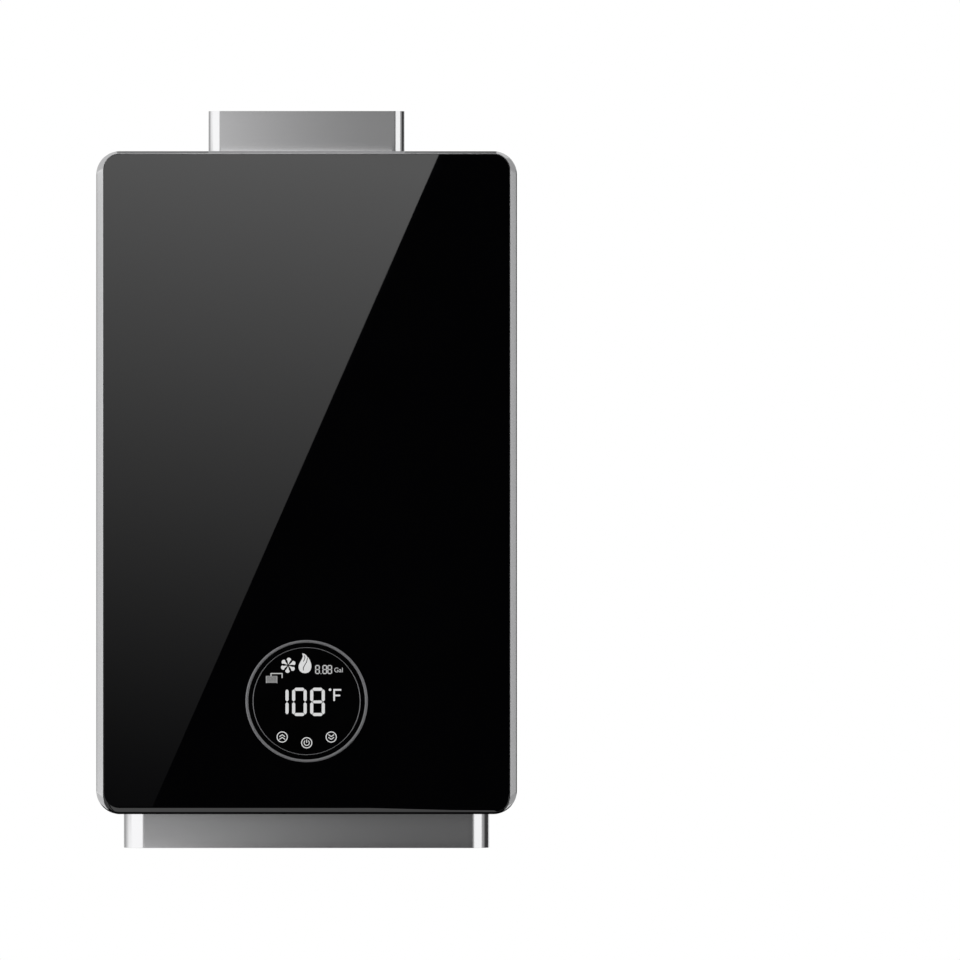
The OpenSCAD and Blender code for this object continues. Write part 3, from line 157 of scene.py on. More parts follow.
def running(axis):
    """A test for the edges along an axis."""
    aim = AXIS[axis]

    def test(edge):
        run = edge.verts[1].co - edge.verts[0].co
        return run.length > 0 and abs(run.normalized().dot(aim)) > 0.999
    return test


def open_edge(edge):
    return edge.is_boundary


def extrude(step):
    bpy.ops.mesh.extrude_region_move(TRANSFORM_OT_translate={"value": step})


def inset(width):
    bpy.ops.mesh.inset(thickness=width, depth=0)


def turn_outwards():
    """Makes all faces of the mesh in edit mode point outwards."""
    bpy.ops.mesh.select_all(action="SELECT")
    bpy.ops.mesh.normals_make_consistent(inside=False)


def settle(piece, name):
    """Names a new primitive and puts its place into its mesh."""
    piece.name = name
    only(piece)
    bpy.ops.object.transform_apply(location=True, rotation=True, scale=True)
    return piece


def block(name, low, high):
    low, high = Vector(low), Vector(high)
    deselect()
    bpy.ops.mesh.primitive_cube_add(size=1, location=(low + high) / 2)
    bpy.context.object.scale = high - low
    return settle(bpy.context.object, name)


def drum(name, centre, radius, length, axis="Z", sides=ROUND):
    turn = {"X": (0, math.pi / 2, 0), "Y": (math.pi / 2, 0, 0), "Z": (0, 0, 0)}[axis]
    deselect()
    bpy.ops.mesh.primitive_cylinder_add(
        vertices=sides, radius=radius, depth=length, location=centre, rotation=turn)
    return settle(bpy.context.object, name)


def plate(name, size, place=(0, 0, 0)):
    deselect()
    bpy.ops.mesh.primitive_plane_add(size=size, location=place)
    return settle(bpy.context.object, name)


def set_corners(piece, corners):
    """Puts the corners of a plate in place. They go round its edge."""
    for vertex, corner in zip((0, 1, 3, 2), corners):
        piece.data.vertices[vertex].co = corner


def draw_line(points):
    """In edit mode, merges a plate to one vertex, draws it out along points and selects it all."""
    bpy.ops.mesh.select_mode(type="VERT")
    bpy.ops.mesh.select_all(action="SELECT")
    bpy.ops.mesh.merge(type="CENTER")
    for a, b in zip(points, points[1:]):
        extrude(b - a)
    bpy.ops.mesh.select_all(action="SELECT")


def lathe(name, profile, centre, axis="Z", steps=ROUND, angle=2 * math.pi, start=(1, 0, 0)):
    """Turns (radius, distance along the axis) points round an axis through centre."""
    along = AXIS[axis]
    points = [Vector(centre) + Vector(start) * r + along * h for r, h in profile]
    piece = plate(name, MM, points[0])
    with editing(piece):
        draw_line(points)
        bpy.ops.mesh.spin(steps=steps, angle=angle, center=centre, axis=along)
        bpy.ops.mesh.select_all(action="SELECT")
        bpy.ops.mesh.remove_doubles(threshold=0.002 * MM)
        turn_outwards()
    return piece


def round_edges(piece, test, radius, steps=CORNER_STEPS):
    with editing(piece):
        pick(piece, "EDGE", test)
        bpy.ops.mesh.bevel(offset=radius, segments=steps, affect="EDGES", clamp_overlap=False)
    return piece


def apply_modifier(piece, kind, **settings):
    modifier = piece.modifiers.new(kind.lower(), kind)
    for key, value in settings.items():
        setattr(modifier, key, value)
    only(piece)
    bpy.ops.object.modifier_apply(modifier=modifier.name)
    return piece


def carve(piece, *tools, operation="DIFFERENCE"):
    for tool in tools:
        apply_modifier(piece, "BOOLEAN", operation=operation, object=tool, solver="EXACT")
        bpy.data.objects.remove(tool)
    return piece


def thicken(piece, wall):
    return apply_modifier(piece, "SOLIDIFY", thickness=wall, offset=-1, use_even_offset=True)


def row(piece, count, step):
    return apply_modifier(piece, "ARRAY", count=count, use_relative_offset=False, use_constant_offset=True,
                          constant_offset_displace=step)


def smooth(piece, angle=35):
    """Shades small steps smooth and keeps the large faces flat."""
    only(piece)
    bpy.ops.object.shade_smooth_by_angle(angle=math.radians(angle))
    return apply_modifier(piece, "WEIGHTED_NORMAL", keep_sharp=True, weight=100)


def soften(piece, width, steps=2, angle=40):
    apply_modifier(piece, "BEVEL", width=width, segments=steps, limit_method="ANGLE",
                   angle_limit=math.radians(angle), use_clamp_overlap=True)
    return smooth(piece)


def join(name, pieces):
    deselect()
    for piece in pieces:
        piece.select_set(True)
    bpy.context.view_layer.objects.active = pieces[0]
    bpy.ops.object.join()
    pieces[0].name = name
    return pieces[0]


def copies(model, places):
    """Copies of a model, each with its own mesh, moved by matrices. The model goes."""
    twins = []
    for place in places:
        twin = model.copy()
        twin.data = model.data.copy()
        bpy.context.scene.collection.objects.link(twin)
        twin.data.transform(place)
        twins.append(twin)
    bpy.data.objects.remove(model)
    return twins


def dress(piece, slot, *nodes, body="housing", finish=None):
    """Gives a piece the finish of its slot or the one given, puts it in its body and hides the nodes it
    stands for.
    """
    piece.data.materials.clear()
    piece.data.materials.append(finish or finishes[slot])
    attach(piece, body)
    if nodes:
        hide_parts(*nodes)
    return piece


# Materials

def srgb(code):
    """Linear colour of an sRGB hex value."""
    parts = [int(code[i:i + 2], 16) / 255 for i in (1, 3, 5)]
    return [p / 12.92 if p <= 0.04045 else ((p + 0.055) / 1.055) ** 2.4 for p in parts] + [1.0]


def add(tree, kind, inputs, **settings):
    """Adds a node with its settings. An input is a value or another node's output."""
    node = tree.nodes.new(kind)
    for key, value in settings.items():
        setattr(node, key, value)
    for key, value in inputs.items():
        if isinstance(value, bpy.types.NodeSocket):
            tree.links.new(value, node.inputs[key])
        else:
            node.inputs[key].default_value = value
    return node


def new_material(name, **inputs):
    """A material, its node tree and its shader. Inputs are set on the shader's own sockets."""
    finish = bpy.data.materials.new(name)
    finish.use_nodes = True
    shader = finish.node_tree.nodes["Principled BSDF"]
    for key, value in inputs.items():
        shader.inputs[key.replace("_", " ")].default_value = value
    return finish, finish.node_tree, shader


def pattern(tree, size, stretch=(1, 1, 1), detail=2.0):
    """Noise whose patches are about size mm across, drawn out by stretch along each axis."""
    place = add(tree, "ShaderNodeTexCoord", {})
    scale = [1 / (size * MM * s) for s in stretch]
    sized = add(tree, "ShaderNodeMapping", {"Vector": place.outputs["Object"], "Scale": scale})
    noise = add(tree, "ShaderNodeTexNoise",
                {"Vector": sized.outputs["Vector"], "Scale": 1.0, "Detail": detail})
    return noise.outputs["Fac"]


def drift(tree, shader, colours, rough, bump, tone_by, gloss_by, height_by):
    """Lets patterns choose between two colours and two roughnesses, and raise a bump in mm."""
    ends = [srgb(code) for code in colours]
    tone = add(tree, "ShaderNodeMix", {"Factor": tone_by, 6: ends[0], 7: ends[1]}, data_type="RGBA")
    tree.links.new(tone.outputs[2], shader.inputs["Base Color"])
    gloss = add(tree, "ShaderNodeMapRange", {"Value": gloss_by, "To Min": rough[0], "To Max": rough[1]})
    tree.links.new(gloss.outputs["Result"], shader.inputs["Roughness"])
    relief = add(tree, "ShaderNodeBump", {"Height": height_by, "Distance": bump * MM, "Strength": 1.0})
    tree.links.new(relief.outputs["Normal"], shader.inputs["Normal"])


def surface(name, dark, light, metallic, rough, patches, bump, stretch=(1, 1, 1), ior=None, detail=2.0):
    """A finish that drifts over patches some mm across, with a bump in mm."""
    finish, tree, shader = new_material(name, Metallic=metallic)
    fac = pattern(tree, patches, stretch, detail)
    drift(tree, shader, (dark, light), rough, bump, fac, fac, fac)
    if ior:
        shader.inputs["IOR"].default_value = ior
    return finish


def spangled_zinc():
    """Hot-dip galvanised sheet: flat crystals some 9 mm across, each with its own grey and gloss."""
    finish, tree, shader = new_material("galvanised_sheet", Metallic=0.9)
    place = add(tree, "ShaderNodeTexCoord", {})
    cells = add(tree, "ShaderNodeTexVoronoi", {"Vector": place.outputs["Object"], "Scale": 1 / (9 * MM)})
    split = add(tree, "ShaderNodeSeparateColor", {"Color": cells.outputs["Color"]})
    drift(tree, shader, ("#9A9EA1", "#B6B9BB"), (0.3, 0.48), 0.003, *split.outputs)
    return finish


# One finish for each material slot of the CAD nodes
finishes = {
    # Float glass with black enamel fired on its back: deep black, with one sharp clear reflection
    "black_glass": surface(
        "back_enamelled_float_glass", "#020203", "#040405", 0, (0.004, 0.012), 60, 0.0004, ior=1.5),
    # Dark cast acrylic: black too, a touch softer than the glass
    "display_glass": surface("smoked_acrylic", "#020202", "#050506", 0, (0.03, 0.05), 30, 0.0003, ior=1.49),
    # Bead-blasted and clear-anodised aluminium: a soft even sheen
    "frame_aluminium": surface(
        "satin_anodised_aluminium", "#B1B1B2", "#BABABB", 1, (0.12, 0.17), 0.8, 0.0004),
    # Hairline stainless sheet: lines along X, drawn coarser than the real 0.1 mm so that they show
    "brushed_steel": surface(
        "hairline_stainless_steel", "#BFBFC0", "#C7C7C8", 1, (0.1, 0.13), 0.5, 0.0004,
        stretch=(160, 1, 1), detail=3.0),
    # Silver powder coat on sheet steel: fine orange peel
    "silver_paint": surface("silver_powder_coat", "#A9ABAD", "#B4B6B8", 0.55, (0.36, 0.44), 1.6, 0.006),
    # Galvanised sheet: patchy grey crystals
    "zinc_sheet": spangled_zinc(),
    # Moulded rubber: black without a gleam
    "black_rubber": surface("nitrile_rubber", "#0C0C0C", "#161616", 0, (0.6, 0.75), 1.2, 0.01),
    # Pressed fibre board: dull grey-brown with fibres along X
    "fibre_gasket": surface(
        "fibre_gasket_board", "#77746C", "#8F8C83", 0, (0.8, 0.9), 1.5, 0.03, stretch=(4, 1, 1)),
    # Moulded nylon: black with a fine grain
    "black_plastic": surface("moulded_black_nylon", "#101112", "#191A1B", 0, (0.42, 0.52), 0.9, 0.008),
    # Solder mask on glass fibre: glossy deep green
    "circuit_board": surface("green_solder_mask", "#0B3A1E", "#14512B", 0, (0.3, 0.4), 3, 0.004),
    # Gold plating on spring wire: warm and bright
    "plated_spring": surface("gold_plated_spring", "#C79A3C", "#D9B057", 1, (0.22, 0.3), 1, 0.001),
    # Zinc plating: pale, slightly cloudy metal
    "plated_screw": surface("zinc_plated_steel", "#A8AAAD", "#C2C4C6", 1, (0.24, 0.34), 1.5, 0.002),
    # Rolled stainless sheet: soft streaks up the pipe
    "flue_steel": surface(
        "mill_finish_stainless", "#A6A6A6", "#BBBBBA", 1, (0.28, 0.38), 1.2, 0.0016, stretch=(1, 1, 30)),
    # Rolled aluminium sheet: pale and satin
    "impeller_aluminium": surface("mill_finish_aluminium", "#B4B6B8", "#C4C6C8", 1, (0.3, 0.4), 2, 0.002),
    # Steel off the lathe: a bright, fine tool finish
    "turned_steel": surface("turned_steel", "#8E9093", "#A4A6A8", 1, (0.2, 0.3), 0.6, 0.001),
    # Blackened steel: near black with a dull metal sheen
    "motor_steel": surface("black_oxide_steel", "#26272A", "#323437", 0.6, (0.4, 0.5), 2, 0.004),
    # Stacked iron sheets: dark grey with lines where the sheets meet
    "motor_iron": surface(
        "laminated_electrical_steel", "#4C4A48", "#5E5B58", 0.8, (0.5, 0.6), 0.5, 0.01, stretch=(40, 1, 40)),
    # Sintered bronze: brown and slightly porous
    "bronze": surface("sintered_bronze", "#8A5A2C", "#A26D3A", 1, (0.4, 0.55), 0.7, 0.006),
    # Moulded acetal: clean off-white
    "white_plastic": surface("white_acetal", "#D6D5D0", "#E2E1DC", 0, (0.35, 0.45), 2, 0.004),
    # Extruded silicone: milky and soft
    "silicone": surface("milky_silicone", "#CFCDC6", "#DAD8D1", 0, (0.45, 0.55), 2, 0.004),
    # Drawn copper tube: warm red with cloudy tarnish
    "copper": surface("drawn_copper", "#B4684A", "#CF8460", 1, (0.22, 0.34), 3, 0.002),
    # Stainless sheet that has been hot: brownish straw tint
    "burner_steel": surface("heat_tinted_stainless", "#6F675E", "#8D857B", 1, (0.32, 0.45), 6, 0.002),
    # Die-cast aluminium: matt grey with a fine cast skin
    "cast_aluminium": surface("die_cast_aluminium", "#9A9C9E", "#AFB1B3", 1, (0.42, 0.52), 1.4, 0.012),
    # Brass off the lathe: yellow, with fine lines round the axis
    "brass": surface("machined_brass", "#C9A560", "#DDBC78", 1, (0.2, 0.3), 1, 0.0015, stretch=(1, 1, 0.2)),
    # Cast resin over a coil: glossy and nearly black
    "coil_resin": surface("cast_coil_resin", "#14161A", "#1E2126", 0, (0.2, 0.3), 3, 0.004),
    # Moulded nylon: mid grey with a fine grain
    "grey_plastic": surface("moulded_grey_nylon", "#63666A", "#6F7276", 0, (0.4, 0.5), 1, 0.008),
    # Fired alumina: chalky off-white
    "white_ceramic": surface("alumina_ceramic", "#DAD7CC", "#E6E3D9", 0, (0.5, 0.6), 1, 0.006),
}
# Blasted aluminium dyed grey, on the display's ring: no clear reflection
ring_aluminium = surface("grey_anodised_aluminium", "#7A7A7C", "#848486", 1, (0.5, 0.56), 0.8, 0.001)
# Chrome plating on the thin bead inside the ring: small bright glints
bead_chrome = surface("bright_chrome", "#727274", "#828284", 1, (0.2, 0.26), 1, 0.0004)

for part in frame["record"]["subparts"]:
    mesh = frame["nodes"][part["node"]].data
    mesh.materials.clear()
    mesh.materials.append(finishes[part["material_slot"]])


def lit_symbol(name, dimmest, brightest):
    """White light-emitting segments behind the lens, as bright as in the photograph."""
    finish, tree, shader = new_material(
        name, Emission_Color=srgb("#FFFFFF"), Base_Color=srgb("#0A0A0A"), Roughness=0.5)
    level = add(tree, "ShaderNodeMapRange",
                {"Value": pattern(tree, 4), "To Min": dimmest, "To Max": brightest})
    tree.links.new(level.outputs["Result"], shader.inputs["Emission Strength"])
    return finish


# The large figures and the keys glow white, the small figures and the shower a little less
led_white = lit_symbol("white_led_segments", 0.6, 0.7)
led_dim = lit_symbol("dim_white_led_segments", 0.44, 0.53)


# Front frame and glass

def move_ends(piece, level, top, bottom):
    """Moves the outline at a depth: its upper half by top, its lower half by bottom, along Z."""
    for sign, step in ((1, top), (-1, bottom)):
        pick(piece, "VERT", lambda v: abs(v.co.y - level) < 0.01 * MM and v.co.z * sign > 0)
        bpy.ops.transform.translate(value=(0, 0, step))


def sink_lower_lip(piece, low_z, seat, sink):
    """Takes the lip back behind the glass at the lower edge, little by little round its corners."""
    corner = low_z + FRAME_R
    front_of = seat - 0.1 * MM
    verts = bmesh.from_edit_mesh(piece.data).verts
    levels = sorted({round(v.co.z, 7) for v in verts if v.co.z < corner and v.co.y < front_of})
    for level in levels:
        share = min(1, (corner - level) / FRAME_R)
        pick(piece, "VERT", lambda v: abs(v.co.z - level) < 0.001 * MM and v.co.y < front_of)
        bpy.ops.transform.translate(value=(0, sink * share ** 2, 0))


def sink_ledge(width, step):
    """Sets the picked faces back inside an edge, and opens them inside a ledge."""
    inset(width)
    extrude(step)
    inset(LEDGE)
    bpy.ops.mesh.delete(type="ONLY_FACE")


def frame_trim():
    low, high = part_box("front_frame")
    glass_low, glass_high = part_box("glass_panel")
    side = glass_low.x + GLASS_SIDE - low.x - FRAME_SIDE_LAND
    top = high.z - glass_high.z - FRAME_LAND
    bottom = glass_low.z - low.z - FRAME_LAND
    slope_back = low.y + FRAME_BEVEL
    seat = glass_high.y + MM
    cover_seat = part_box("front_cover")[0].y
    flank = FRAME_EASE - EASE_ENDS
    piece = block("frame_trim", (low.x, slope_back + FRAME_EASE_DEPTH, low.z), high)
    round_edges(piece, running("Y"), FRAME_R)
    with editing(piece):
        pick(piece, "FACE", facing(FRONT))
        inset(FRAME_EASE)
        bpy.ops.transform.translate(value=(0, -FRAME_EASE_DEPTH, 0))
        move_ends(piece, slope_back, flank, -flank)
        pick(piece, "FACE", facing(FRONT, slope_back))
        inset(side - FRAME_EASE)
        bpy.ops.transform.translate(value=(0, -FRAME_BEVEL, 0))
        move_ends(piece, low.y, side - top - flank, bottom - side + flank)
        pick(piece, "FACE", facing(FRONT, low.y))
        sink_ledge(FRAME_LAND * 0.6, (0, seat - low.y, 0))
        sink_lower_lip(piece, low.z, seat, glass_high.y + 0.2 * MM - low.y)
        pick(piece, "FACE", facing(BACK))
        sink_ledge(COVER_LIP, (0, cover_seat - high.y, 0))
        pick(piece, "EDGE", open_edge)
        bpy.ops.mesh.bridge_edge_loops()
        turn_outwards()
    soften(piece, 0.1 * MM, angle=15)
    smooth(piece, angle=13)
    return dress(piece, "frame_aluminium", "front_frame")


def glass_front():
    """A pane whose lower edge rolls back along an ellipse. Its other edges are just eased."""
    low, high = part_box("glass_panel")
    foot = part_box("front_frame")[0].z + GLASS_FOOT
    slopes = [GLASS_ROLL * math.tan(math.radians(tilt)) for tilt in ROLL_TILTS]
    turns = [math.atan2(GLASS_ROLL_DEPTH, slope) for slope in slopes]
    level = low.y + GLASS_ROLL_DEPTH * (math.sin(turns[-1]) - math.sin(turns[0]))
    piece = block("glass_front", (low.x + GLASS_SIDE, level, foot), (high.x - GLASS_SIDE, high.y, high.z))
    round_edges(piece, running("Y"), GLASS_R)
    with editing(piece):
        pick(piece, "FACE", facing(FRONT))
        for a, b in zip(turns, turns[1:]):
            shrink = math.cos(a) - math.cos(b)
            rise = GLASS_ROLL_DEPTH * (math.sin(b) - math.sin(a))
            bpy.ops.mesh.inset(thickness=GLASS_EDGE * shrink, depth=rise)
            level -= rise
            move_ends(piece, level, 0, (GLASS_ROLL - GLASS_EDGE) * shrink)
            pick(piece, "FACE", facing(FRONT, level, 0.001 * MM))
        inset(0.05 * MM)
    ring_low, ring_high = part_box("display_ring")
    hole_r = (ring_high.x - ring_low.x) / 2 - RING_GAP + 0.1 * MM
    carve(piece, drum("hole", (ring_low + ring_high) / 2, hole_r, CUTTER, "Y", sides=2 * ROUND))
    smooth(piece, angle=25)
    return dress(piece, "black_glass", "glass_panel")


frame_trim()
glass_front()


# Round display

ring_low, ring_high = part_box("display_ring")
display_x = (ring_low.x + ring_high.x) / 2
display_z = (ring_low.z + ring_high.z) / 2
lens_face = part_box("display_lens")[0].y
display_axis = Vector((display_x, 0, display_z))


def half_turn(steps):
    """Angles over half a turn."""
    return [math.pi * k / steps for k in range(steps + 1)]


def display_bezel():
    """A domed ring: its crown is an arc from edge to edge."""
    back, front = -ring_high.y, -ring_low.y
    out = (ring_high.x - ring_low.x) / 2 - RING_GAP
    crown = 0.4 * MM
    arc = [(out - RING_W * (1 - math.cos(a)) / 2, front - crown * (1 - math.sin(a))) for a in half_turn(10)]
    profile = [(out - RING_W, back), (out, back)] + arc + [(out - RING_W, back)]
    piece = lathe("display_bezel", profile, display_axis, "Y", steps=2 * ROUND)
    smooth(piece, angle=50)
    return dress(piece, "frame_aluminium", "display_ring", finish=ring_aluminium)


def display_fine_ring():
    """A thin half-round bead pressed into the groove of the lens."""
    half = 0.3 * MM
    rise = 0.25 * MM
    seat = -lens_face - 0.05 * MM
    root = (GROOVE_R, -lens_face - 0.45 * MM)
    arc = [(GROOVE_R + half * math.cos(a), seat + rise * math.sin(a)) for a in half_turn(8)]
    piece = lathe("display_fine_ring", [root] + arc + [root], display_axis, "Y", steps=2 * ROUND)
    smooth(piece, angle=60)
    return dress(piece, "frame_aluminium", finish=bead_chrome)


def display_window():
    low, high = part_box("display_lens")
    back, front = -high.y, -low.y
    out = (high.x - low.x) / 2
    groove = 0.5 * MM
    edge = 0.2 * MM
    profile = [(0, back), (out, back), (out, front - edge), (out - edge, front), (GROOVE_R + groove, front),
               (GROOVE_R, front - groove), (GROOVE_R - groove, front), (0, front)]
    piece = lathe("display_window", profile, display_axis, "Y", steps=2 * ROUND)
    smooth(piece, angle=25)
    return dress(piece, "display_glass", "display_lens")


display_bezel()
display_window()
display_fine_ring()

# Lit symbols lie on the lens, a little sunk into it and a little proud
SYMBOL_PROUD = 0.06 * MM
SYMBOL_SUNK = 0.1 * MM
SYMBOL_T = SYMBOL_PROUD + SYMBOL_SUNK
symbol_front = lens_face - SYMBOL_PROUD
symbol_back = lens_face + SYMBOL_SUNK
symbol_middle = (symbol_front + symbol_back) / 2


def bar(x0, x1, z0, z1, point=0.0):
    """A flat bar on the lens. point bevels its corners, as on a segment of a numeral."""
    piece = block("bar", (x0, symbol_front, z0), (x1, symbol_back, z1))
    if point:
        round_edges(piece, running("Y"), point, steps=1)
    return piece


def turned_bar(middle, length, width, angle):
    piece = bar(-length / 2, length / 2, -width / 2, width / 2)
    x, z = middle
    piece.data.transform(Matrix.Translation((x, 0, z)) @ Matrix.Rotation(-angle, 4, "Y"))
    return piece


def hoop(middle, radius, width, start=0.0, sweep=2 * math.pi, steps=48):
    """A flat ring or arc on the lens, clockwise from an angle counted from +X towards +Z."""
    x, z = middle
    inner, outer = radius - width / 2, radius + width / 2
    profile = [(inner, -symbol_back), (outer, -symbol_back), (outer, -symbol_front), (inner, -symbol_front),
               (inner, -symbol_back)]
    first = (math.cos(start), 0, math.sin(start))
    piece = lathe("hoop", profile, (x, 0, z), "Y", steps, sweep, first)
    if sweep < 2 * math.pi:
        with editing(piece):
            pick(piece, "EDGE", open_edge)
            bpy.ops.mesh.edge_face_add()
    return piece


def outline(points):
    """A flat shape on the lens whose edge runs through points of the photograph."""
    corners = [Vector((x, symbol_back, z)) for x, z in (from_photo(*p) for p in points)]
    piece = plate("outline", MM, corners[0])
    with editing(piece):
        draw_line(corners)
        bpy.ops.mesh.edge_face_add()
        extrude((0, symbol_front - symbol_back, 0))
        turn_outwards()
    return piece


def stroke(points, width, lift=0.0):
    """A thin line on the lens through points of the photograph, as short bars."""
    spots = [from_photo(*p) for p in points]
    pieces = []
    for (x0, z0), (x1, z1) in zip(spots, spots[1:]):
        run = math.hypot(x1 - x0, z1 - z0) + width * 0.6
        piece = turned_bar(((x0 + x1) / 2, (z0 + z1) / 2), run, width, math.atan2(z1 - z0, x1 - x0))
        piece.data.transform(Matrix.Translation((0, -lift, 0)))
        pieces.append(piece)
    return pieces


# The lit bars of each numeral: top, upper right, lower right, foot, lower left, upper left, middle
LIT = {"0": "1111110", "1": "0110000", "8": "1111111"}


def numeral(figure, left, top, width, height, stroke_w):
    """A seven-bar numeral whose box starts at its upper left corner."""
    right, low, half = left + width, top - height, top - height / 2
    cut = stroke_w * 0.46
    inner = stroke_w * 0.7
    drop = stroke_w * 0.56
    gap = stroke_w * 0.12
    middle = stroke_w * 0.45
    bars = [
        (left + inner, right - inner, top - stroke_w, top),
        (right - stroke_w, right, half + gap, top - drop),
        (right - stroke_w, right, low + drop, half - gap),
        (left + inner, right - inner, low, low + stroke_w),
        (left, left + stroke_w, low + drop, half - gap),
        (left, left + stroke_w, half + gap, top - drop),
        (left + inner, right - inner, half - middle, half + middle),
    ]
    return [bar(*box, cut) for box, lit in zip(bars, LIT[figure]) if lit == "1"]


def symbol(name, pieces, finish=led_white):
    return dress(join(name, pieces), "display_glass", finish=finish)


def letters(body, x, z, size):
    """Letters as a mesh on the lens, from their lower left corner."""
    deselect()
    bpy.ops.object.text_add(location=(x, lens_face + SYMBOL_SUNK / 2, z), rotation=(math.pi / 2, 0, 0))
    text = bpy.context.object
    text.data.body = body
    text.data.size = size
    text.data.extrude = SYMBOL_T / 2
    bpy.ops.object.convert(target="MESH")
    return settle(bpy.context.object, "letters")


def temperature_readout():
    width = 14.6 * PIXEL
    x, top = from_photo(284.6, 687.7)
    height = top - from_photo(0, 716)[1]
    starts = (x - width + 4 * PIXEL, from_photo(292.1, 0)[0], from_photo(310.2, 0)[0])
    pieces = []
    for figure, left in zip("108", starts):
        pieces += numeral(figure, left, top, width, height, 3.1 * PIXEL)
    return symbol("temperature_numerals", pieces)


def degree_unit():
    dot = drum("dot", (0, 0, 0), 1.3 * PIXEL, SYMBOL_T, "Y", sides=24)
    x, z = from_photo(330, 689.7)
    dot.data.transform(Matrix.Translation((x, symbol_middle, z)))
    left, low = from_photo(333.3, 701)
    right, top = from_photo(341.3, 689)
    middle = from_photo(0, 694.6)[1]
    thick = 1.7 * PIXEL
    point = thick * 0.2
    pieces = [
        bar(left, left + thick, low, top, point),
        bar(left, right, top - thick, top, point),
        bar(left, right - PIXEL, middle - thick, middle, point),
    ]
    return symbol("degree_unit", [dot] + pieces)


def flow_readout():
    top = from_photo(0, 665)[1]
    height = 9 * PIXEL
    width = 4.7 * PIXEL
    thick = 1.05 * PIXEL
    pieces = []
    for x in (315.1, 322.4, 327.4):
        pieces += numeral("8", from_photo(x, 0)[0], top, width, height, thick)
    x, z = from_photo(320.6, 674)
    dot = 0.8 * PIXEL
    pieces.append(bar(x, x + dot, z, z + dot))
    pieces.append(letters("Gal", *from_photo(334, 672.2), 6.6 * PIXEL))
    return symbol("flow_numerals", pieces, led_dim)


def fan_symbol():
    """Six drop-shaped blades: a disc whose inner half is drawn out to a point."""
    x, z = from_photo(288.2, 665.3)
    reach, lobe = 5.4 * PIXEL, 2.25 * PIXEL
    waist, tip, draw = 0.62, 0.3, 0.95 * lobe
    petal = drum("petal", (0, 0, reach), lobe, SYMBOL_T, "Y", sides=24)
    with editing(petal):
        pick(petal, "VERT", lambda v: v.co.z < reach - 0.2 * lobe)
        bpy.ops.transform.resize(value=(waist, 1, 1), center_override=(0, 0, 0))
        pick(petal, "VERT", lambda v: v.co.z < reach - 0.7 * lobe)
        bpy.ops.transform.translate(value=(0, 0, -draw))
        bpy.ops.transform.resize(value=(tip, 1, 1), center_override=(0, 0, 0))
    middle = Matrix.Translation((x, symbol_middle, z))
    turns = [Matrix.Rotation(math.radians(60 * k + 7), 4, "Y") for k in range(6)]
    return symbol("fan_symbol", copies(petal, [middle @ turn for turn in turns]))


# The flame's edge, clockwise from its tip, and its two dark veins
FLAME_EDGE = [(302.2, 653.3), (304.4, 653.8), (306.6, 655.6), (307.4, 657.4), (308.4, 657.6), (310, 660.6),
              (311.2, 664), (311.4, 667), (310.6, 670), (308.6, 672.3), (305.6, 673.2), (302.4, 672.8),
              (299.8, 671), (298.6, 668.2), (298.7, 665.2), (300.2, 662), (302, 659), (302.9, 656.2)]
FLAME_VEINS = [[(307.4, 658.2), (306.6, 662), (304.6, 665.2), (303.4, 667.6), (303.3, 670.2)],
               [(304.4, 655.6), (305, 657.6), (304.2, 660), (303.4, 661.4)]]


def flame_symbol():
    symbol("flame_symbol", [outline(FLAME_EDGE)])
    veins = []
    for vein in FLAME_VEINS:
        veins += stroke(vein, 0.75 * PIXEL, 0.03 * MM)
    return dress(join("flame_veins", veins), "display_glass")


def shower_symbol():
    left, top = from_photo(266, 676)
    right, low = from_photo(277.2, 683.2)
    step = 0.9 * PIXEL
    line = step * 0.42
    side = step * 0.4
    pieces = [bar(left, right, top - step * k - line, top - step * k) for k in range(8)]
    pieces += [bar(x, x + side, low, top) for x in (left, right - side)]
    neck, over = from_photo(270.5, 673)
    spout, spout_low = from_photo(282.6, 678)
    pieces += [
        bar(neck, neck + PIXEL, top, over),
        bar(neck, spout, over - PIXEL, over),
        bar(spout - PIXEL, spout, spout_low, over),
    ]
    return symbol("shower_symbol", pieces, led_dim)


KEY_R = 5.1 * PIXEL
KEY_LINE = 0.9 * PIXEL
SIGN_LINE = 0.8 * PIXEL


def chevron_key(name, x, y, sign):
    middle = from_photo(x, y)
    pieces = [hoop(middle, KEY_R, KEY_LINE)]
    arm, tilt = 3.7 * PIXEL, math.radians(36)
    out = arm * math.cos(tilt) / 2 * 0.92
    rise = 1.35 * PIXEL
    for level in (-rise, rise):
        for side in (-1, 1):
            centre = (middle[0] + side * out, middle[1] + level)
            pieces.append(turned_bar(centre, arm, SIGN_LINE, -side * sign * tilt))
    return symbol(name, pieces)


def power_key():
    middle = from_photo(306.7, 742.8)
    x, z = middle
    pieces = [
        hoop(middle, KEY_R, KEY_LINE),
        hoop(middle, 2.6 * PIXEL, SIGN_LINE, math.radians(55), math.radians(290)),
        bar(x - SIGN_LINE / 2, x + SIGN_LINE / 2, z, z + 3.3 * PIXEL),
    ]
    return symbol("power_key", pieces)


temperature_readout()
degree_unit()
flow_readout()
fan_symbol()
flame_symbol()
shower_symbol()
chevron_key("warmer_key", 282.2, 737, 1)
chevron_key("cooler_key", 331.2, 737, -1)
power_key()


# Sheet-metal trim

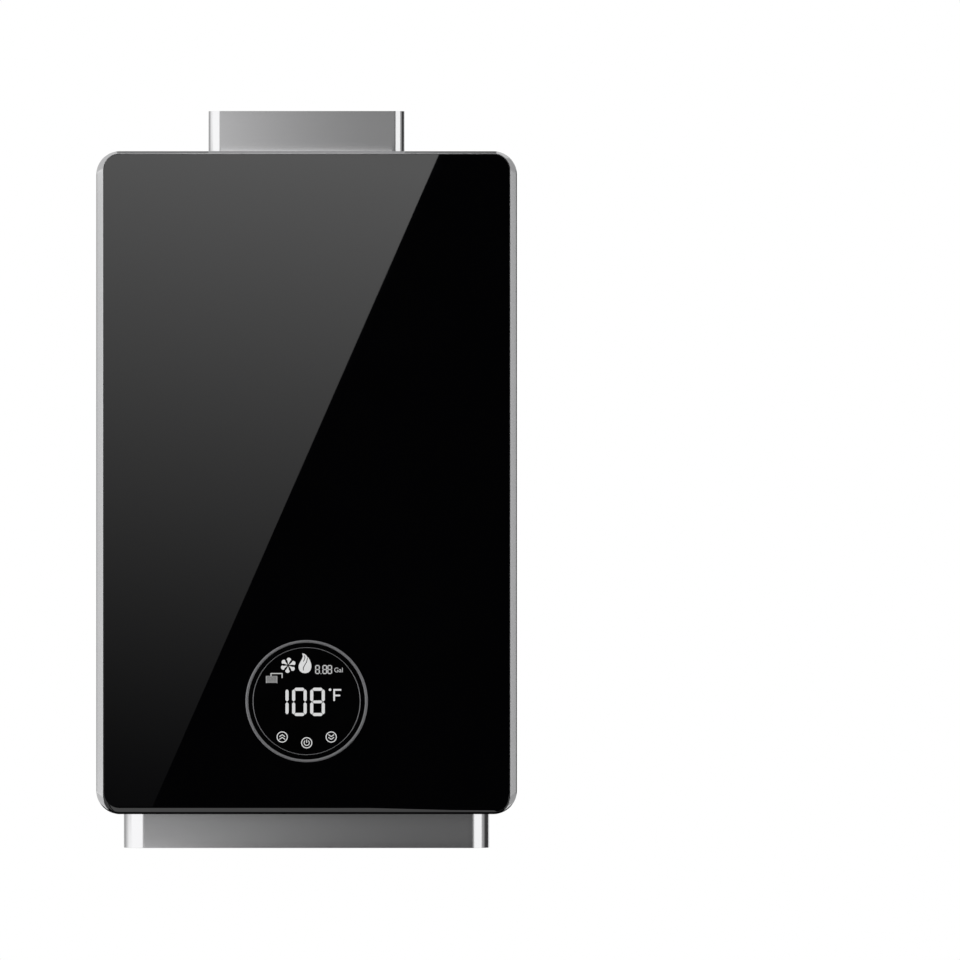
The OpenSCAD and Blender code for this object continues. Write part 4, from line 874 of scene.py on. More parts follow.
def flue_cowl():
    low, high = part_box("flue_shroud")
    middle = Vector(((low.x + high.x) / 2, -FLUE_DEPTH, high.z))
    piece = block("flue_cowl", low, high)
    round_edges(piece, running("Z"), SHROUD_R)
    with editing(piece):
        pick(piece, "FACE", facing(DOWN))
        inset(SKIRT_FOOT)
        bpy.ops.mesh.delete(type="FACE")
    thicken(piece, SHEET)
    carve(piece, drum("mouth", middle, FLUE_HOLE_R, SHORT_CUTTER, "Z", sides=2 * ROUND))
    soften(piece, SHEET_EDGE)
    return dress(piece, "brushed_steel", "flue_shroud")


def skirt_trim():
    low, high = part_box("bottom_skirt")
    piece = block("skirt_trim", low, high)
    upright_edge = running("Z")
    round_edges(piece, lambda e: upright_edge(e) and e.verts[0].co.y < low.y + MM, SKIRT_R)
    with editing(piece):
        for side, width in ((-1, SKIRT_HEM), (1, SKIRT_FOOT)):
            pick(piece, "FACE", facing((0, 0, side)))
            inset(width)
            bpy.ops.mesh.delete(type="FACE")
            pick(piece, "FACE", facing((0, 0, side), high.y - width / 2, 0.1 * MM))
            bpy.ops.mesh.delete(type="FACE")
        pick(piece, "FACE", facing(BACK))
        bpy.ops.mesh.delete(type="FACE")
    thicken(piece, SHEET)
    soften(piece, SHEET_EDGE)
    return dress(piece, "brushed_steel", "bottom_skirt")


# Casing

AIR_SLOTS = 10
AIR_SLOT_LOW = -209.3 * MM
AIR_SLOT_STEP = 9 * MM
AIR_SLOT_LONG = 34 * MM
AIR_SLOT_WIDE = 3.5 * MM
PORT_DEPTH = 56 * MM
FLUE_NOTCH = 36 * MM
FLUE_NOTCH_DOWN = 3 * MM
DECK_NOTCH = 130.5 * MM
DECK_NOTCH_DEEP = 106 * MM
DECK_NOTCH_UP = 2.5 * MM
DISPLAY_HOLE_GAP = 0.3 * MM
SCREW_HOLE_R = 2.05 * MM
COVER_SCREW_DEPTH = 15 * MM
COVER_SCREW_LEVELS = (-170 * MM, 0, 170 * MM)
RIB_X = 108 * MM
RIB_W = 10 * MM
RIB_UP = 2 * MM
RIB_LONG = 390 * MM
WALL_HOLE_R = 3.5 * MM
WALL_HOLES = [(x * 130 * MM, z * 225 * MM) for x in (-1, 1) for z in (-1, 1)]
FOLD = 0.4 * MM


def casing_cover():
    """A folded sheet-steel cover with louvre slots in both sides and notches for the flue and the pipes."""
    low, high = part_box("front_cover")
    housing_low, housing_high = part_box("display_housing")
    piece = block("casing_cover", low, high)
    round_edges(piece, running("Y"), COVER_R)
    with editing(piece):
        pick(piece, "FACE", facing(BACK))
        bpy.ops.mesh.delete(type="FACE")
    thicken(piece, SHEET)
    wide = high.x - low.x + CUTTER
    slot = block("slots", (-wide / 2, -PORT_DEPTH - AIR_SLOT_LONG / 2, AIR_SLOT_LOW - AIR_SLOT_WIDE / 2),
                 (wide / 2, -PORT_DEPTH + AIR_SLOT_LONG / 2, AIR_SLOT_LOW + AIR_SLOT_WIDE / 2))
    round_edges(slot, running("X"), AIR_SLOT_WIDE * ROUND_END, steps=6)
    row(slot, AIR_SLOTS, (0, 0, AIR_SLOT_STEP))
    bolt = drum("bolts", (0, -COVER_SCREW_DEPTH, COVER_SCREW_LEVELS[0]), SCREW_HOLE_R, wide, "X", sides=24)
    row(bolt, 3, (0, 0, COVER_SCREW_LEVELS[1] - COVER_SCREW_LEVELS[0]))
    hole_r = (housing_high.x - housing_low.x) / 2 + DISPLAY_HOLE_GAP
    hole = drum("display_hole", display_axis + Vector((0, low.y, 0)), hole_r, CUTTER, "Y")
    flue_notch = block("flue_notch", (-FLUE_NOTCH, -FLUE_DEPTH - FLUE_NOTCH, high.z - FLUE_NOTCH_DOWN),
                       (FLUE_NOTCH, high.y + MM, high.z + MM))
    deck_notch = block("deck_notch", (-DECK_NOTCH, -DECK_NOTCH_DEEP, low.z - MM),
                       (DECK_NOTCH, high.y + MM, low.z + DECK_NOTCH_UP))
    carve(piece, slot, bolt, hole, flue_notch, deck_notch)
    soften(piece, FOLD)
    return dress(piece, "silver_paint", "front_cover")


def rib(name, width, deep0, deep1):
    """Two upright bars with round ends, for the ribs of the wall pan."""
    half = (RIB_LONG + width) / 2
    piece = block(name, (-RIB_X - width / 2, -deep1, -half), (-RIB_X + width / 2, -deep0, half))
    round_edges(piece, running("Y"), width * ROUND_END, steps=8)
    return row(piece, 2, (2 * RIB_X, 0, 0))


def wall_pan():
    """A shallow pan of galvanised sheet with two pressed ribs and four wall holes."""
    low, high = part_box("back_pan")
    piece = block("wall_pan", low, high)
    round_edges(piece, running("Y"), PAN_R)
    with editing(piece):
        pick(piece, "FACE", facing(FRONT))
        bpy.ops.mesh.delete(type="FACE")
    thicken(piece, PAN_SHEET)
    carve(piece, rib("beads", RIB_W, PAN_SHEET / 2, PAN_SHEET + RIB_UP), operation="UNION")
    carve(piece, rib("grooves", RIB_W - 2 * PAN_SHEET, -MM, RIB_UP))
    for x, z in WALL_HOLES:
        carve(piece, drum("wall_hole", (x, 0, z), WALL_HOLE_R, SHORT_CUTTER, "Y", sides=48))
    soften(piece, FOLD)
    return dress(piece, "zinc_sheet", "back_pan")


# Screws, modelled once and copied

HEAD_R = 3.5 * MM
HEAD_T = 2.2 * MM
HEAD_RIM = 0.35
SHANK_R = 1.9 * MM
SHANK_TIP = 0.6
SCREW_POINT = 0.6 * MM
TRIM_SCREW_LONG = 2.3 * MM
COVER_SCREW_LONG = 6 * MM
CROSS = (4.2 * MM, 0.9 * MM, 1.1 * MM)
SKIRT_SCREW_X = 137.75 * MM
SKIRT_SCREW_DEPTHS = (30 * MM, 80 * MM)
COWL_SCREW_X = 71.1 * MM
COWL_SCREW_OUT = 26 * MM


def pan_head_screw(length):
    """A domed head with a cross recess, its seat at the origin and its tip along -Z."""
    dome = [(HEAD_R * math.cos(a), HEAD_T * (HEAD_RIM + (1 - HEAD_RIM) * math.sin(a)))
            for a in (math.radians(15 * k) for k in range(6))]
    shank = [(0, -length), (SHANK_R * SHANK_TIP, -length), (SHANK_R, -length + SCREW_POINT), (SHANK_R, 0)]
    piece = lathe("screw", shank + [(HEAD_R, 0)] + dome + [(0, HEAD_T)], (0, 0, 0), "Z", steps=32)
    long, wide, deep = CROSS
    for x, y in ((long, wide), (wide, long)):
        carve(piece, block("cross", (-x / 2, -y / 2, HEAD_T - deep), (x / 2, y / 2, HEAD_T + MM)))
    return smooth(piece, TURNED)


def screw_set(name, node, length, places):
    return dress(join(name, copies(pan_head_screw(length), places)), "plated_screw", node)


def casing_screws():
    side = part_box("front_cover")[1].x
    places = []
    for sign in (-1, 1):
        for level in COVER_SCREW_LEVELS:
            turn = Matrix.Rotation(sign * math.pi / 2, 4, "Y")
            places.append(Matrix.Translation((sign * side, -COVER_SCREW_DEPTH, level)) @ turn)
    return screw_set("casing_screws", "cover_screws", COVER_SCREW_LONG, places)


def cowl_and_skirt_screws():
    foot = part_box("bottom_skirt")[1].z - SHEET
    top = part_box("flue_shroud")[0].z + SHEET
    places = []
    for sign in (-1, 1):
        for deep in SKIRT_SCREW_DEPTHS:
            turn = Matrix.Rotation(math.pi, 4, "X")
            places.append(Matrix.Translation((sign * SKIRT_SCREW_X, -deep, foot)) @ turn)
        for out in (-COWL_SCREW_OUT, COWL_SCREW_OUT):
            places.append(Matrix.Translation((sign * COWL_SCREW_X, out - FLUE_DEPTH, top)))
    return screw_set("cowl_and_skirt_screws", "trim_screws", TRIM_SCREW_LONG, places)


# Flue pipe and draught flap

PIPE_R = 30 * MM
PIPE_WALL = 1.2 * MM
PIPE_EDGE = 0.3 * MM
BEAD_R = 1.1 * MM
BEAD_DOWN = 6 * MM
FLAP_R = 27.5 * MM
FLAP_T = 0.8 * MM
FLAP_EDGE = 0.2 * MM
FLAP_PRESS = 0.5 * MM
FLAP_RING = 0.72
FLAP_Z = 267 * MM
FLAP_PIN_R = 1.5 * MM
FLAP_PIN_Y = -57 * MM
FLANGE_R = 4 * MM


def flue_pipe():
    """A stainless socket with a rolled bead near its mouth, on a flat flange."""
    low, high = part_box("flue_collar")
    bead_z = high.z - BEAD_DOWN
    bead = [(PIPE_R + BEAD_R * math.cos(a), bead_z + BEAD_R * math.sin(a))
            for a in (math.radians(30 * k - 90) for k in range(7))]
    inner = PIPE_R - PIPE_WALL
    mouth = high.z - PIPE_EDGE
    profile = [(inner, low.z), (PIPE_R, low.z)] + bead + [
        (PIPE_R, mouth), (PIPE_R - PIPE_EDGE, high.z), (inner + PIPE_EDGE, high.z), (inner, mouth),
        (inner, low.z)]
    pipe = lathe("flue_pipe", profile, (0, -FLUE_DEPTH, 0))
    flange = block("flange", low, (high.x, high.y, low.z + PAN_SHEET))
    round_edges(flange, running("Z"), FLANGE_R, steps=8)
    carve(flange, drum("bore", (0, -FLUE_DEPTH, low.z), PIPE_R - PIPE_EDGE, SHORT_CUTTER))
    carve(pipe, drum("pin_hole", (0, FLAP_PIN_Y, FLAP_Z), FLAP_PIN_R + 0.05 * MM, 4 * PIPE_R, "X", sides=32))
    piece = join("flue_pipe", [pipe, flange])
    smooth(piece, TURNED)
    return dress(piece, "flue_steel", "flue_collar")


def damper_flap():
    """A thin disc with a pressed ring, carried by a pin that sits off its middle."""
    pin_low, pin_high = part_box("draught_flap")
    face = FLAP_T / 2
    ring = FLAP_R * FLAP_RING
    edge = FLAP_R - FLAP_EDGE
    profile = [(0, -face), (ring - MM, -face), (ring, -face + FLAP_PRESS), (ring + MM, -face), (edge, -face),
               (FLAP_R, 0), (edge, face), (ring + MM, face), (ring, face + FLAP_PRESS), (ring - MM, face),
               (0, face)]
    disc = lathe("disc", profile, (0, -FLUE_DEPTH, FLAP_Z))
    middle = ((pin_low.x + pin_high.x) / 2, FLAP_PIN_Y, FLAP_Z)
    pin = drum("pin", middle, FLAP_PIN_R, pin_high.x - pin_low.x, "X", sides=32)
    soften(pin, 0.25 * MM)
    piece = join("damper_flap", [disc, pin])
    smooth(piece, angle=40)
    return dress(piece, "flue_steel", "draught_flap", body="draught_flap")


# Pipe fittings below the deck

PORT_X = 112 * MM
THREAD_R = 10.48 * MM
THREAD_ROOT = 9.32 * MM
THREAD_SUNK = 0.2 * MM
THREAD_PITCH = 1.814 * MM
THREAD_LOW = -282 * MM
THREAD_TOP = -263 * MM
THREAD_START = 0.4 * MM
NECK_R = 9.98 * MM
COLLAR_R = 15.98 * MM
COLLAR_T = 4 * MM
BORE_R = 7 * MM
TUBE_R = 10 * MM
SPANNER_R = 14.48 * MM
SPANNER_H = 8 * MM
HEX_EDGE = 0.4 * MM
deck_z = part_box("bottom_plate")[0].z + PAN_SHEET


def pipe_thread():
    """One long helical ridge about the Z axis, from a small open shape turned by a Screw modifier."""
    turns = int((THREAD_TOP - THREAD_LOW) / THREAD_PITCH) - 1
    root = THREAD_ROOT - THREAD_SUNK
    ridge = [(root, 0), (THREAD_R, 0.42), (THREAD_R, 0.54), (root, 0.96)]
    piece = plate("thread", MM)
    foot = Vector((0, 0, THREAD_LOW + THREAD_START))
    set_corners(piece, [Vector((r, 0, THREAD_PITCH * share)) + foot for r, share in ridge])
    with editing(piece):
        bpy.ops.mesh.select_all(action="SELECT")
        bpy.ops.mesh.delete(type="ONLY_FACE")
    apply_modifier(piece, "SCREW", axis="Z", angle=2 * math.pi, screw_offset=THREAD_PITCH, iterations=turns,
                   steps=48, render_steps=48, use_smooth_shade=False)
    with editing(piece):
        pick(piece, "EDGE", open_edge)
        bpy.ops.mesh.fill_holes(sides=0)
        turn_outwards()
    return piece


def port(name, x, bore, tube, top):
    """A turned brass port: threaded spigot below, flange on the deck, plain tube above."""
    ease = 0.5 * MM
    collar = deck_z + COLLAR_T
    profile = [(bore + ease, THREAD_LOW), (THREAD_ROOT - ease, THREAD_LOW), (THREAD_ROOT, THREAD_LOW + ease),
               (THREAD_ROOT, THREAD_TOP), (NECK_R, THREAD_TOP + ease), (NECK_R, deck_z), (COLLAR_R, deck_z),
               (COLLAR_R, collar - ease), (COLLAR_R - ease, collar), (tube, collar), (tube, top), (bore, top),
               (bore, THREAD_LOW + ease), (bore + ease, THREAD_LOW)]
    piece = join(name, [lathe(name, profile, (0, 0, 0)), pipe_thread()])
    piece.data.transform(Matrix.Translation((x, -PORT_DEPTH, 0)))
    return piece


def gas_port():
    piece = port("gas_port", 0, BORE_R, TUBE_R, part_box("gas_inlet_fitting")[1].z)
    smooth(piece, TURNED)
    return dress(piece, "brass", "gas_inlet_fitting")


def hot_port():
    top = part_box("hot_outlet_fitting")[1].z
    spanner = drum("spanner", (-PORT_X, -PORT_DEPTH, top - SPANNER_H / 2), SPANNER_R, SPANNER_H, sides=6)
    carve(spanner, drum("bore", (-PORT_X, -PORT_DEPTH, top), TUBE_R - THREAD_SUNK, 3 * SPANNER_H))
    soften(spanner, HEX_EDGE)
    piece = join("hot_port", [port("hot_port", -PORT_X, BORE_R, TUBE_R, top), spanner])
    smooth(piece, TURNED)
    return dress(piece, "brass", "hot_outlet_fitting")


DRAIN_X = 74 * MM
DRAIN_SPIGOT_R = 8 * MM
DRAIN_SPIGOT_LOW = -263.5 * MM
DRAIN_BORE_R = 5 * MM
DRAIN_BOSS_R = 9 * MM
BRANCH_Z = -233.3 * MM
BRANCH_R = 8.5 * MM
BRANCH_ENDS = 19 * MM
FILTER_R = 8 * MM
FILTER_TUBE_R = 12.48 * MM
RIM_IN = 12 * MM
RIM_OUT = 15 * MM
RIM_H = 6 * MM


def cold_port():
    """The inlet with its filter bore, and the branch that carries the drain spigot."""
    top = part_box("cold_inlet_body")[1].z
    rim_low = top - RIM_H
    rim = lathe("rim", [(RIM_IN, rim_low), (RIM_OUT, rim_low), (RIM_OUT, top), (RIM_IN, top),
                        (RIM_IN, rim_low)], (PORT_X, -PORT_DEPTH, 0))
    boss_top = BRANCH_Z + BRANCH_R
    ease = 0.4 * MM
    spigot = lathe("spigot", [
        (DRAIN_BORE_R, DRAIN_SPIGOT_LOW), (DRAIN_SPIGOT_R - ease, DRAIN_SPIGOT_LOW),
        (DRAIN_SPIGOT_R, DRAIN_SPIGOT_LOW + ease), (DRAIN_SPIGOT_R, deck_z), (DRAIN_BOSS_R, deck_z),
        (DRAIN_BOSS_R, boss_top - MM), (DRAIN_SPIGOT_R, boss_top), (0, boss_top), (0, BRANCH_Z),
        (DRAIN_BORE_R, BRANCH_Z), (DRAIN_BORE_R, DRAIN_SPIGOT_LOW)], (DRAIN_X, -PORT_DEPTH, 0))
    run = PORT_X - DRAIN_X - BRANCH_ENDS
    middle = (DRAIN_X + BRANCH_R + run / 2, -PORT_DEPTH, BRANCH_Z)
    branch = drum("branch", middle, BRANCH_R, run, "X", sides=48)
    soften(branch, 0.2 * MM)
    body = port("cold_port", PORT_X, FILTER_R, FILTER_TUBE_R, top)
    piece = join("cold_port", [body, rim, spigot, branch])
    smooth(piece, TURNED)
    return dress(piece, "brass", "cold_inlet_body")


NUT_R = 16.48 * MM
NUT_BORE = 10.78 * MM
NUT_EASE = 0.8 * MM


def lock_nuts():
    """Hexagon nuts with turned corners, one on each port."""
    low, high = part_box("fitting_nuts")
    flats = NUT_R * math.cos(math.pi / 6)
    nut = drum("nut", (0, 0, (low.z + high.z) / 2), NUT_R, high.z - low.z, sides=6)
    nut.data.transform(Matrix.Rotation(math.radians(30), 4, "Z"))
    drop = (NUT_R - flats) * math.tan(math.radians(30))
    turned = [(0, low.z), (flats, low.z), (NUT_R, low.z + drop), (NUT_R, high.z - drop), (flats, high.z),
              (0, high.z)]
    carve(nut, lathe("turned", turned, (0, 0, 0)), operation="INTERSECT")
    bore = [(0, low.z - MM), (NUT_BORE + NUT_EASE + MM, low.z - MM), (NUT_BORE, low.z + NUT_EASE),
            (NUT_BORE, high.z + MM), (0, high.z + MM)]
    carve(nut, lathe("bore", bore, (0, 0, 0)))
    soften(nut, SHEET_EDGE)
    nuts = copies(nut, [Matrix.Translation((x, -PORT_DEPTH, 0)) for x in (-PORT_X, 0, PORT_X)])
    return dress(join("lock_nuts", nuts), "brass", "fitting_nuts")


def flute(piece, count, x, radius, z, width, length):
    """Cuts upright flutes round a piece that stands on the line of the ports."""
    for k in range(count):
        turn = 2 * math.pi * k / count
        place = (x + radius * math.cos(turn), -PORT_DEPTH + radius * math.sin(turn), z)
        carve(piece, drum("flute", place, width, length, sides=12))


KNOB_LOW = -270.8 * MM
KNOB_TOP = -263.8 * MM
KNOB_FLUTES = 16
KNOB_FLUTE_R = 0.9 * MM
KNOB_FLUTE_LONG = 8 * MM
WING_T = 4 * MM
WING_R = 4 * MM
STEM_R = 4.96 * MM
STEM_GROOVE = 0.9 * MM
STEM_RINGS = (4 * MM, 8 * MM)


def drain_knob():
    """A quarter-turn plug: ribbed head, thumb wing and a stem with two ring grooves."""
    low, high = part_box("drain_tap")
    head_r = (high.x - low.x) / 2
    ease = 0.6 * MM
    profile = [(0, KNOB_LOW), (head_r - ease, KNOB_LOW), (head_r, KNOB_LOW + ease), (head_r, KNOB_TOP - ease),
               (head_r - ease, KNOB_TOP), (STEM_R, KNOB_TOP)]
    for ring in STEM_RINGS:
        start, end = KNOB_TOP + ring - STEM_GROOVE, KNOB_TOP + ring + STEM_GROOVE
        bottom = STEM_R - STEM_GROOVE
        profile += [(STEM_R, start), (bottom, start), (bottom, end), (STEM_R, end)]
    profile += [(STEM_R, high.z - ease), (STEM_R - ease, high.z), (0, high.z)]
    head = lathe("head", profile, (DRAIN_X, -PORT_DEPTH, 0))
    flute(head, KNOB_FLUTES, DRAIN_X, head_r, KNOB_TOP, KNOB_FLUTE_R, KNOB_FLUTE_LONG)
    grip = block("grip", (low.x, -PORT_DEPTH - WING_T / 2, low.z),
                 (high.x, -PORT_DEPTH + WING_T / 2, KNOB_LOW + MM))
    along = running("Y")
    round_edges(grip, lambda e: along(e) and e.verts[0].co.z < KNOB_LOW, WING_R, steps=8)
    soften(grip, ease, steps=3)
    piece = join("drain_knob", [head, grip])
    smooth(piece, TURNED)
    return dress(piece, "grey_plastic", "drain_tap", body="drain_tap")


GLAND_X = -62 * MM
CABLE_R = 4 * MM
GLAND_R = 8 * MM
GLAND_TIP_R = 7 * MM
GLAND_HEX = 12 * MM
GLAND_HEX_H = 6 * MM
GLAND_LOCK_H = 5 * MM
GLAND_DOME = 10 * MM
GLAND_DOME_UP = 5 * MM
GLAND_FLUTES = 12
GLAND_FLUTE_R = 0.8 * MM
GLAND_FLUTE_LONG = 7 * MM
GLAND_FLUTE_DOWN = 3 * MM


def cord_gland():
    """A nylon gland: ribbed clamping dome below, hexagons on both sides of the deck."""
    low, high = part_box("cable_gland")
    plate_low = deck_z - PAN_SHEET
    dome_top = plate_low - GLAND_HEX_H
    ease = 0.5 * MM
    body = lathe("body", [
        (CABLE_R, low.z + ease), (CABLE_R + ease, low.z), (GLAND_TIP_R - ease, low.z),
        (GLAND_TIP_R, low.z + ease), (GLAND_DOME, low.z + GLAND_DOME_UP), (GLAND_DOME, dome_top),
        (GLAND_R, dome_top), (GLAND_R, high.z - ease), (GLAND_R - ease, high.z), (CABLE_R, high.z),
        (CABLE_R, low.z + ease)], (GLAND_X, -PORT_DEPTH, 0))
    flute(body, GLAND_FLUTES, GLAND_X, GLAND_DOME, dome_top - GLAND_FLUTE_DOWN, GLAND_FLUTE_R,
          GLAND_FLUTE_LONG)
    parts = [body]
    for z0, z1 in ((dome_top, plate_low), (deck_z, deck_z + GLAND_LOCK_H)):
        middle = (GLAND_X, -PORT_DEPTH, (z0 + z1) / 2)
        flat = drum("flat", middle, GLAND_HEX, z1 - z0, sides=6)
        carve(flat, drum("bore", middle, GLAND_R - THREAD_SUNK, CUTTER, sides=48))
        parts.append(soften(flat, ease))
    piece = join("cord_gland", parts)
    smooth(piece, TURNED)
    return dress(piece, "black_plastic", "cable_gland")


flue_cowl()
skirt_trim()
casing_cover()
wall_pan()
casing_screws()
cowl_and_skirt_screws()
flue_pipe()
damper_flap()
gas_port()
hot_port()
cold_port()
lock_nuts()
drain_knob()
cord_gland()


# Stage: camera, floor, cards and light

CAMERA_FAR = PIXELS * PIXEL * LENS / SENSOR
glass_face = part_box("glass_panel")[0].y
camera_z = from_photo(0, PIXELS / 2)[1]
bpy.ops.object.camera_add(location=(0, glass_face - CAMERA_FAR, camera_z), rotation=(math.pi / 2, 0, 0))
camera = bpy.context.object
camera.data.lens = LENS
camera.data.sensor_width = SENSOR
camera.data.shift_x = (PIXELS / 2 - PHOTO_X) / PIXELS
camera.data.clip_end = 100
bpy.context.scene.camera = camera

# How far in front of the glass the cards stand
CARD_FAR = 2.0
FLAG_FAR = 2.05
UPPER_CARD_FAR = 0.12
LOWER_CARD_FAR = 0.35

# Ends and edges of the front cards, and the corners (x, z) of the low one
UPPER_CARD_X = (-0.1, 0.132)
UPPER_CARD_H = 0.042
LOWER_CARD_X = (-0.19, 0.3)
FRONT_FLAG_X = (-0.63, 1.5)
FRONT_FLAG_TOP = 0.75
LOW_CARD = [(-0.5, -1.27), (0.37, -1.27), (-0.13, -0.36), (-0.5, -0.36)]

# Where the cards beside, above and below the heater stand
SIDE_X = 1.5
SIDE_FRONT = -0.36
RIGHT_BACK = 1.6
LEFT_BACK = 6.0
FLAG_HALF = 0.5
RIGHT_TOP = 1.6
LEFT_FLAG_FRONT = 0.2
STRIP_LOW = 0.285
STRIP_HIGH = 0.37
CEILING_HALF = 0.3
CEILING_Y = (0.58, 1.05)
CEILING_Z = 1.2
LOW_FLAG_HALF = 0.6
LOW_FLAG_Y = (0.3, -1.05)
LOW_FLAG_Z = -0.75
FLOOR_Z = -1.3
FLOOR_SIZE = 16

# Levels of light: the floor's lift on rays that see the background, and the world's on the others
FLOOR_LIFT = 0.5
WORLD_DIFFUSE = 0.68


def on_card(x, y, far=CARD_FAR):
    """The place on a card, far in front of the glass, that a flat front mirrors at a photograph's pixel."""
    px, pz = from_photo(x, y)
    spread = (CAMERA_FAR + far) / CAMERA_FAR
    return px * spread, camera_z + (pz - camera_z) * spread


def background_ray(tree):
    """1 on rays from the camera and in reflections and clear glass, 0 on the others."""
    path = add(tree, "ShaderNodeLightPath", {})
    seen = path.outputs["Is Camera Ray"]
    for kind in ("Is Glossy Ray", "Is Transmission Ray"):
        seen = add(tree, "ShaderNodeMath", {0: seen, 1: path.outputs[kind]}, operation="MAXIMUM").outputs[0]
    return seen


def card(name, corners, finish):
    """A flat card that only reflections see. Corners go round its edge."""
    piece = plate(name, 1)
    set_corners(piece, corners)
    piece.data.materials.append(finish)
    piece.visible_camera = False
    piece.visible_diffuse = False
    piece.visible_shadow = False
    return piece


def upright_card(name, x0, x1, y, z0, z1, finish):
    return card(name, [(x0, y, z0), (x1, y, z0), (x1, y, z1), (x0, y, z1)], finish)


def side_card(name, x, y0, y1, z0, z1, finish):
    return card(name, [(x, y0, z0), (x, y1, z0), (x, y1, z1), (x, y0, z1)], finish)


def level_card(name, x0, x1, y0, y1, z, finish):
    return card(name, [(x0, y0, z), (x1, y0, z), (x1, y1, z), (x0, y1, z)], finish)


def card_light(name, span, power, rise, least, direction=(1, 0, 0)):
    """Light that grows along a direction across a card, as a power of the way over a span."""
    finish, tree, shader = new_material(name)
    tree.nodes.remove(shader)
    place = add(tree, "ShaderNodeTexCoord", {})
    across = add(tree, "ShaderNodeVectorMath", {0: place.outputs["Object"], 1: direction},
                 operation="DOT_PRODUCT")
    way = add(tree, "ShaderNodeMapRange",
              {"Value": across.outputs["Value"], "From Min": span[0], "From Max": span[1]})
    curve = add(tree, "ShaderNodeMath", {0: way.outputs["Result"], 1: power}, operation="POWER")
    level = add(tree, "ShaderNodeMath", {0: curve.outputs[0], 1: rise, 2: least}, operation="MULTIPLY_ADD")
    light = add(tree, "ShaderNodeEmission", {"Strength": level.outputs[0]})
    tree.links.new(light.outputs[0], tree.nodes["Material Output"].inputs["Surface"])
    return finish


def even_light(name, level):
    return card_light(name, (0, 1), power=1.0, rise=0.0, least=level)


def front_cards():
    """What the glass and the two bright metal boxes mirror, in front of the heater."""
    plane = glass_face - CARD_FAR
    top_x, top_z = on_card(439.5, 153)
    low_x, low_z = on_card(152.5, 807)
    left = on_card(60, 0)[0]
    # The sloping card that the glass mirrors
    fade = (on_card(0, 870)[1], on_card(0, 155)[1])
    sloping = card_light(
        "sloping_card_glow", fade, power=1.8, rise=2.2, least=0.05, direction=(0.15, 0, 1))
    card("sloping_card",
         [(left, plane, low_z), (low_x, plane, low_z), (top_x, plane, top_z), (left, plane, top_z)], sloping)
    # Cards for the two metal boxes above and below the glass, close to them to keep them apart
    span = [on_card(x, 0, UPPER_CARD_FAR)[0] for x in (395, 218)]
    upper = card_light("upper_card_glow", span, power=1.7, rise=0.39, least=0.39)
    low = on_card(0, 152, UPPER_CARD_FAR)[1]
    upright_card("upper_card", *UPPER_CARD_X, glass_face - UPPER_CARD_FAR, low, low + UPPER_CARD_H, upper)
    span = [on_card(x, 0, LOWER_CARD_FAR)[0] for x in (465, 145)]
    lower = card_light("lower_card_glow", span, power=1.9, rise=0.3, least=0.19)
    low, high = (on_card(0, y, LOWER_CARD_FAR)[1] for y in (856, 809))
    upright_card("lower_card", *LOWER_CARD_X, glass_face - LOWER_CARD_FAR, low, high, lower)
    # Black cloth behind them all, for the dark half of the glass
    cloth, _, _ = new_material(
        "black_flag_cloth", Base_Color=srgb("#050505"), Roughness=1.0, Specular_IOR_Level=0.0)
    upright_card("front_flag", *FRONT_FLAG_X, glass_face - FLAG_FAR, FLOOR_Z, FRONT_FLAG_TOP, cloth)
    # Low card for the rolled lower edge of the glass
    glint = card_light("low_card_glow", (0.3, -0.3), power=1.0, rise=0.3, least=1.2)
    card("low_card", [(x, plane, z) for x, z in LOW_CARD], glint)


def side_cards():
    """What the frame's slopes and the rounded corners of the boxes mirror, beside, above and below."""
    grey = card_light("right_flag_glow", (0.3, -0.15), power=1.0, rise=0.56, least=0.06, direction=BACK)
    ends = even_light("right_ends_glow", 0.64)
    side_card("right_flag", SIDE_X, SIDE_FRONT, RIGHT_BACK, -FLAG_HALF, FLAG_HALF, grey)
    side_card("upper_right_flag", SIDE_X, SIDE_FRONT, RIGHT_BACK, FLAG_HALF, RIGHT_TOP, ends)
    side_card("lower_right_flag", SIDE_X, SIDE_FRONT, RIGHT_BACK, FLOOR_Z + 0.01, -FLAG_HALF, ends)
    # Strips at the left, level with the metal boxes, and a greyer card between them for the frame's chamfer
    fading = card_light("left_strip_glow", (1.4, 0.0), power=1.6, rise=1.15, least=0.52, direction=BACK)
    side_card("upper_left_strip", -SIDE_X, LEFT_BACK, SIDE_FRONT, STRIP_LOW, STRIP_HIGH, fading)
    side_card("lower_left_strip", -SIDE_X, LEFT_BACK, SIDE_FRONT, -STRIP_HIGH, -STRIP_LOW, fading)
    shade = card_light("left_flag_glow", (0.6, 0.2), power=1.0, rise=0.4, least=0.6, direction=BACK)
    side_card("left_flag", -SIDE_X, LEFT_BACK, LEFT_FLAG_FRONT, -STRIP_LOW, STRIP_LOW, shade)
    # Overhead card for the frame's upper slope, and a dim one below for the rolled lower edge of the glass
    ceiling = card_light("ceiling_card_glow", (0.2, 0.1), power=1.0, rise=0.2, least=0.06)
    level_card("ceiling_card", -CEILING_HALF, CEILING_HALF, *CEILING_Y, CEILING_Z, ceiling)
    dim = even_light("low_flag_glow", 0.05)
    level_card("low_flag", -LOW_FLAG_HALF, LOW_FLAG_HALF, *LOW_FLAG_Y, LOW_FLAG_Z, dim)


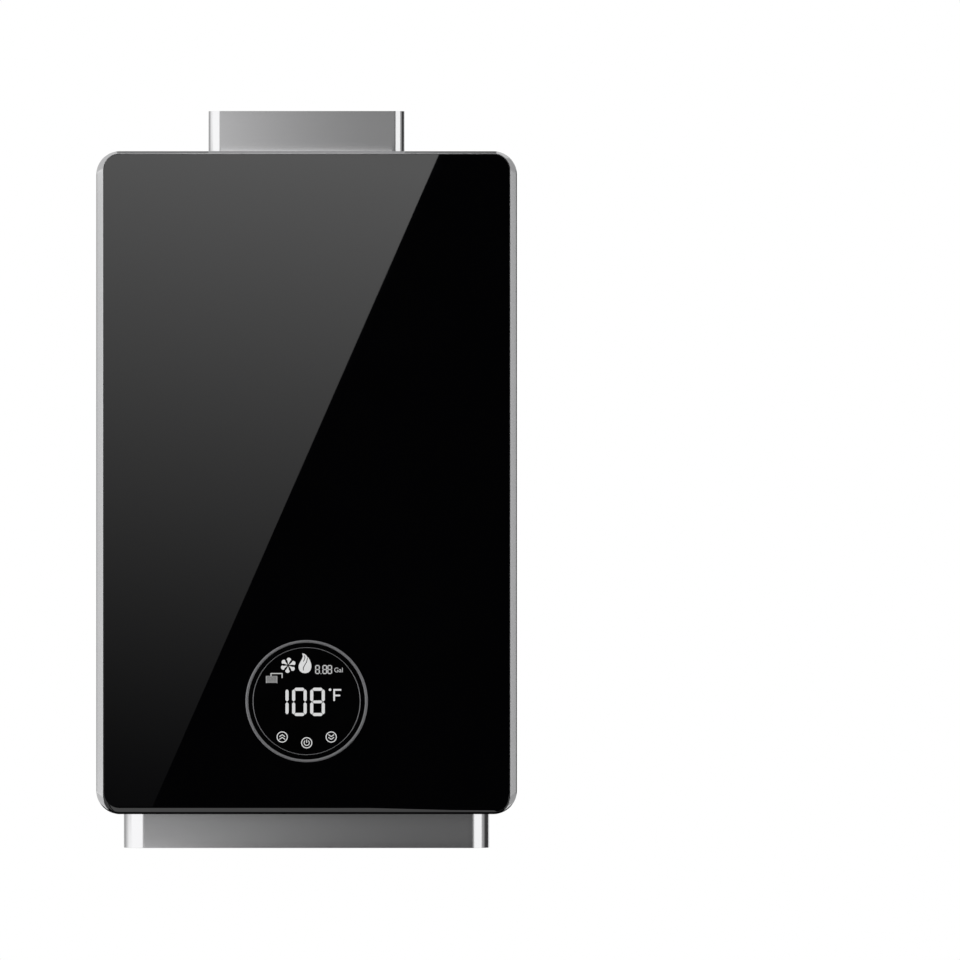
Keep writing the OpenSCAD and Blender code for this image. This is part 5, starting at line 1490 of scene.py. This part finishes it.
def softbox(name, angle, far, width, height, radiance):
    """A rectangular lamp that faces the heater, at an angle to its front counted towards +X."""
    turn = math.radians(angle)
    data = bpy.data.lights.new(name, "AREA")
    data.shape = "RECTANGLE"
    data.size = width
    data.size_y = height
    data.energy = radiance * math.pi * width * height
    lamp = bpy.data.objects.new(name, data)
    bpy.context.scene.collection.objects.link(lamp)
    lamp.location = (far * math.sin(turn), -far * math.cos(turn), 0)
    lamp.rotation_euler = (math.pi / 2, 0, turn)
    lamp.visible_camera = False
    return lamp


def floor():
    """A matt white floor, clear from below so that the heater's underside can be seen through it."""
    piece = plate("floor", FLOOR_SIZE, (0, 0, FLOOR_Z))
    finish, tree, shader = new_material(
        "matt_white_floor", Base_Color=srgb("#E6E6E6"), Roughness=1.0, Specular_IOR_Level=0.0,
        Emission_Color=srgb("#FFFFFF"))
    lift = add(tree, "ShaderNodeMath", {0: background_ray(tree), 1: FLOOR_LIFT}, operation="MULTIPLY")
    tree.links.new(lift.outputs[0], shader.inputs["Emission Strength"])
    side = add(tree, "ShaderNodeNewGeometry", {})
    clear = add(tree, "ShaderNodeBsdfTransparent", {})
    mixed = add(tree, "ShaderNodeMixShader",
                {0: side.outputs["Backfacing"], 1: shader.outputs[0], 2: clear.outputs[0]})
    tree.links.new(mixed.outputs[0], tree.nodes["Material Output"].inputs["Surface"])
    piece.data.materials.append(finish)


def white_world():
    world = bpy.data.worlds.new("white_studio")
    bpy.context.scene.world = world
    world.use_nodes = True
    tree = world.node_tree
    level = add(tree, "ShaderNodeMapRange",
                {"Value": background_ray(tree), "To Min": WORLD_DIFFUSE, "To Max": 1.0})
    sky = tree.nodes["Background"]
    sky.inputs["Color"].default_value = srgb("#FFFFFF")
    tree.links.new(level.outputs["Result"], sky.inputs["Strength"])


front_cards()
side_cards()
softbox("left_softbox", angle=-44.5, far=1.6, width=2.08, height=0.8, radiance=0.72)
softbox("right_softbox", angle=52.5, far=1.6, width=1.44, height=0.8, radiance=0.65)
floor()
white_world()
bpy.context.scene.view_settings.view_transform = "Standard"
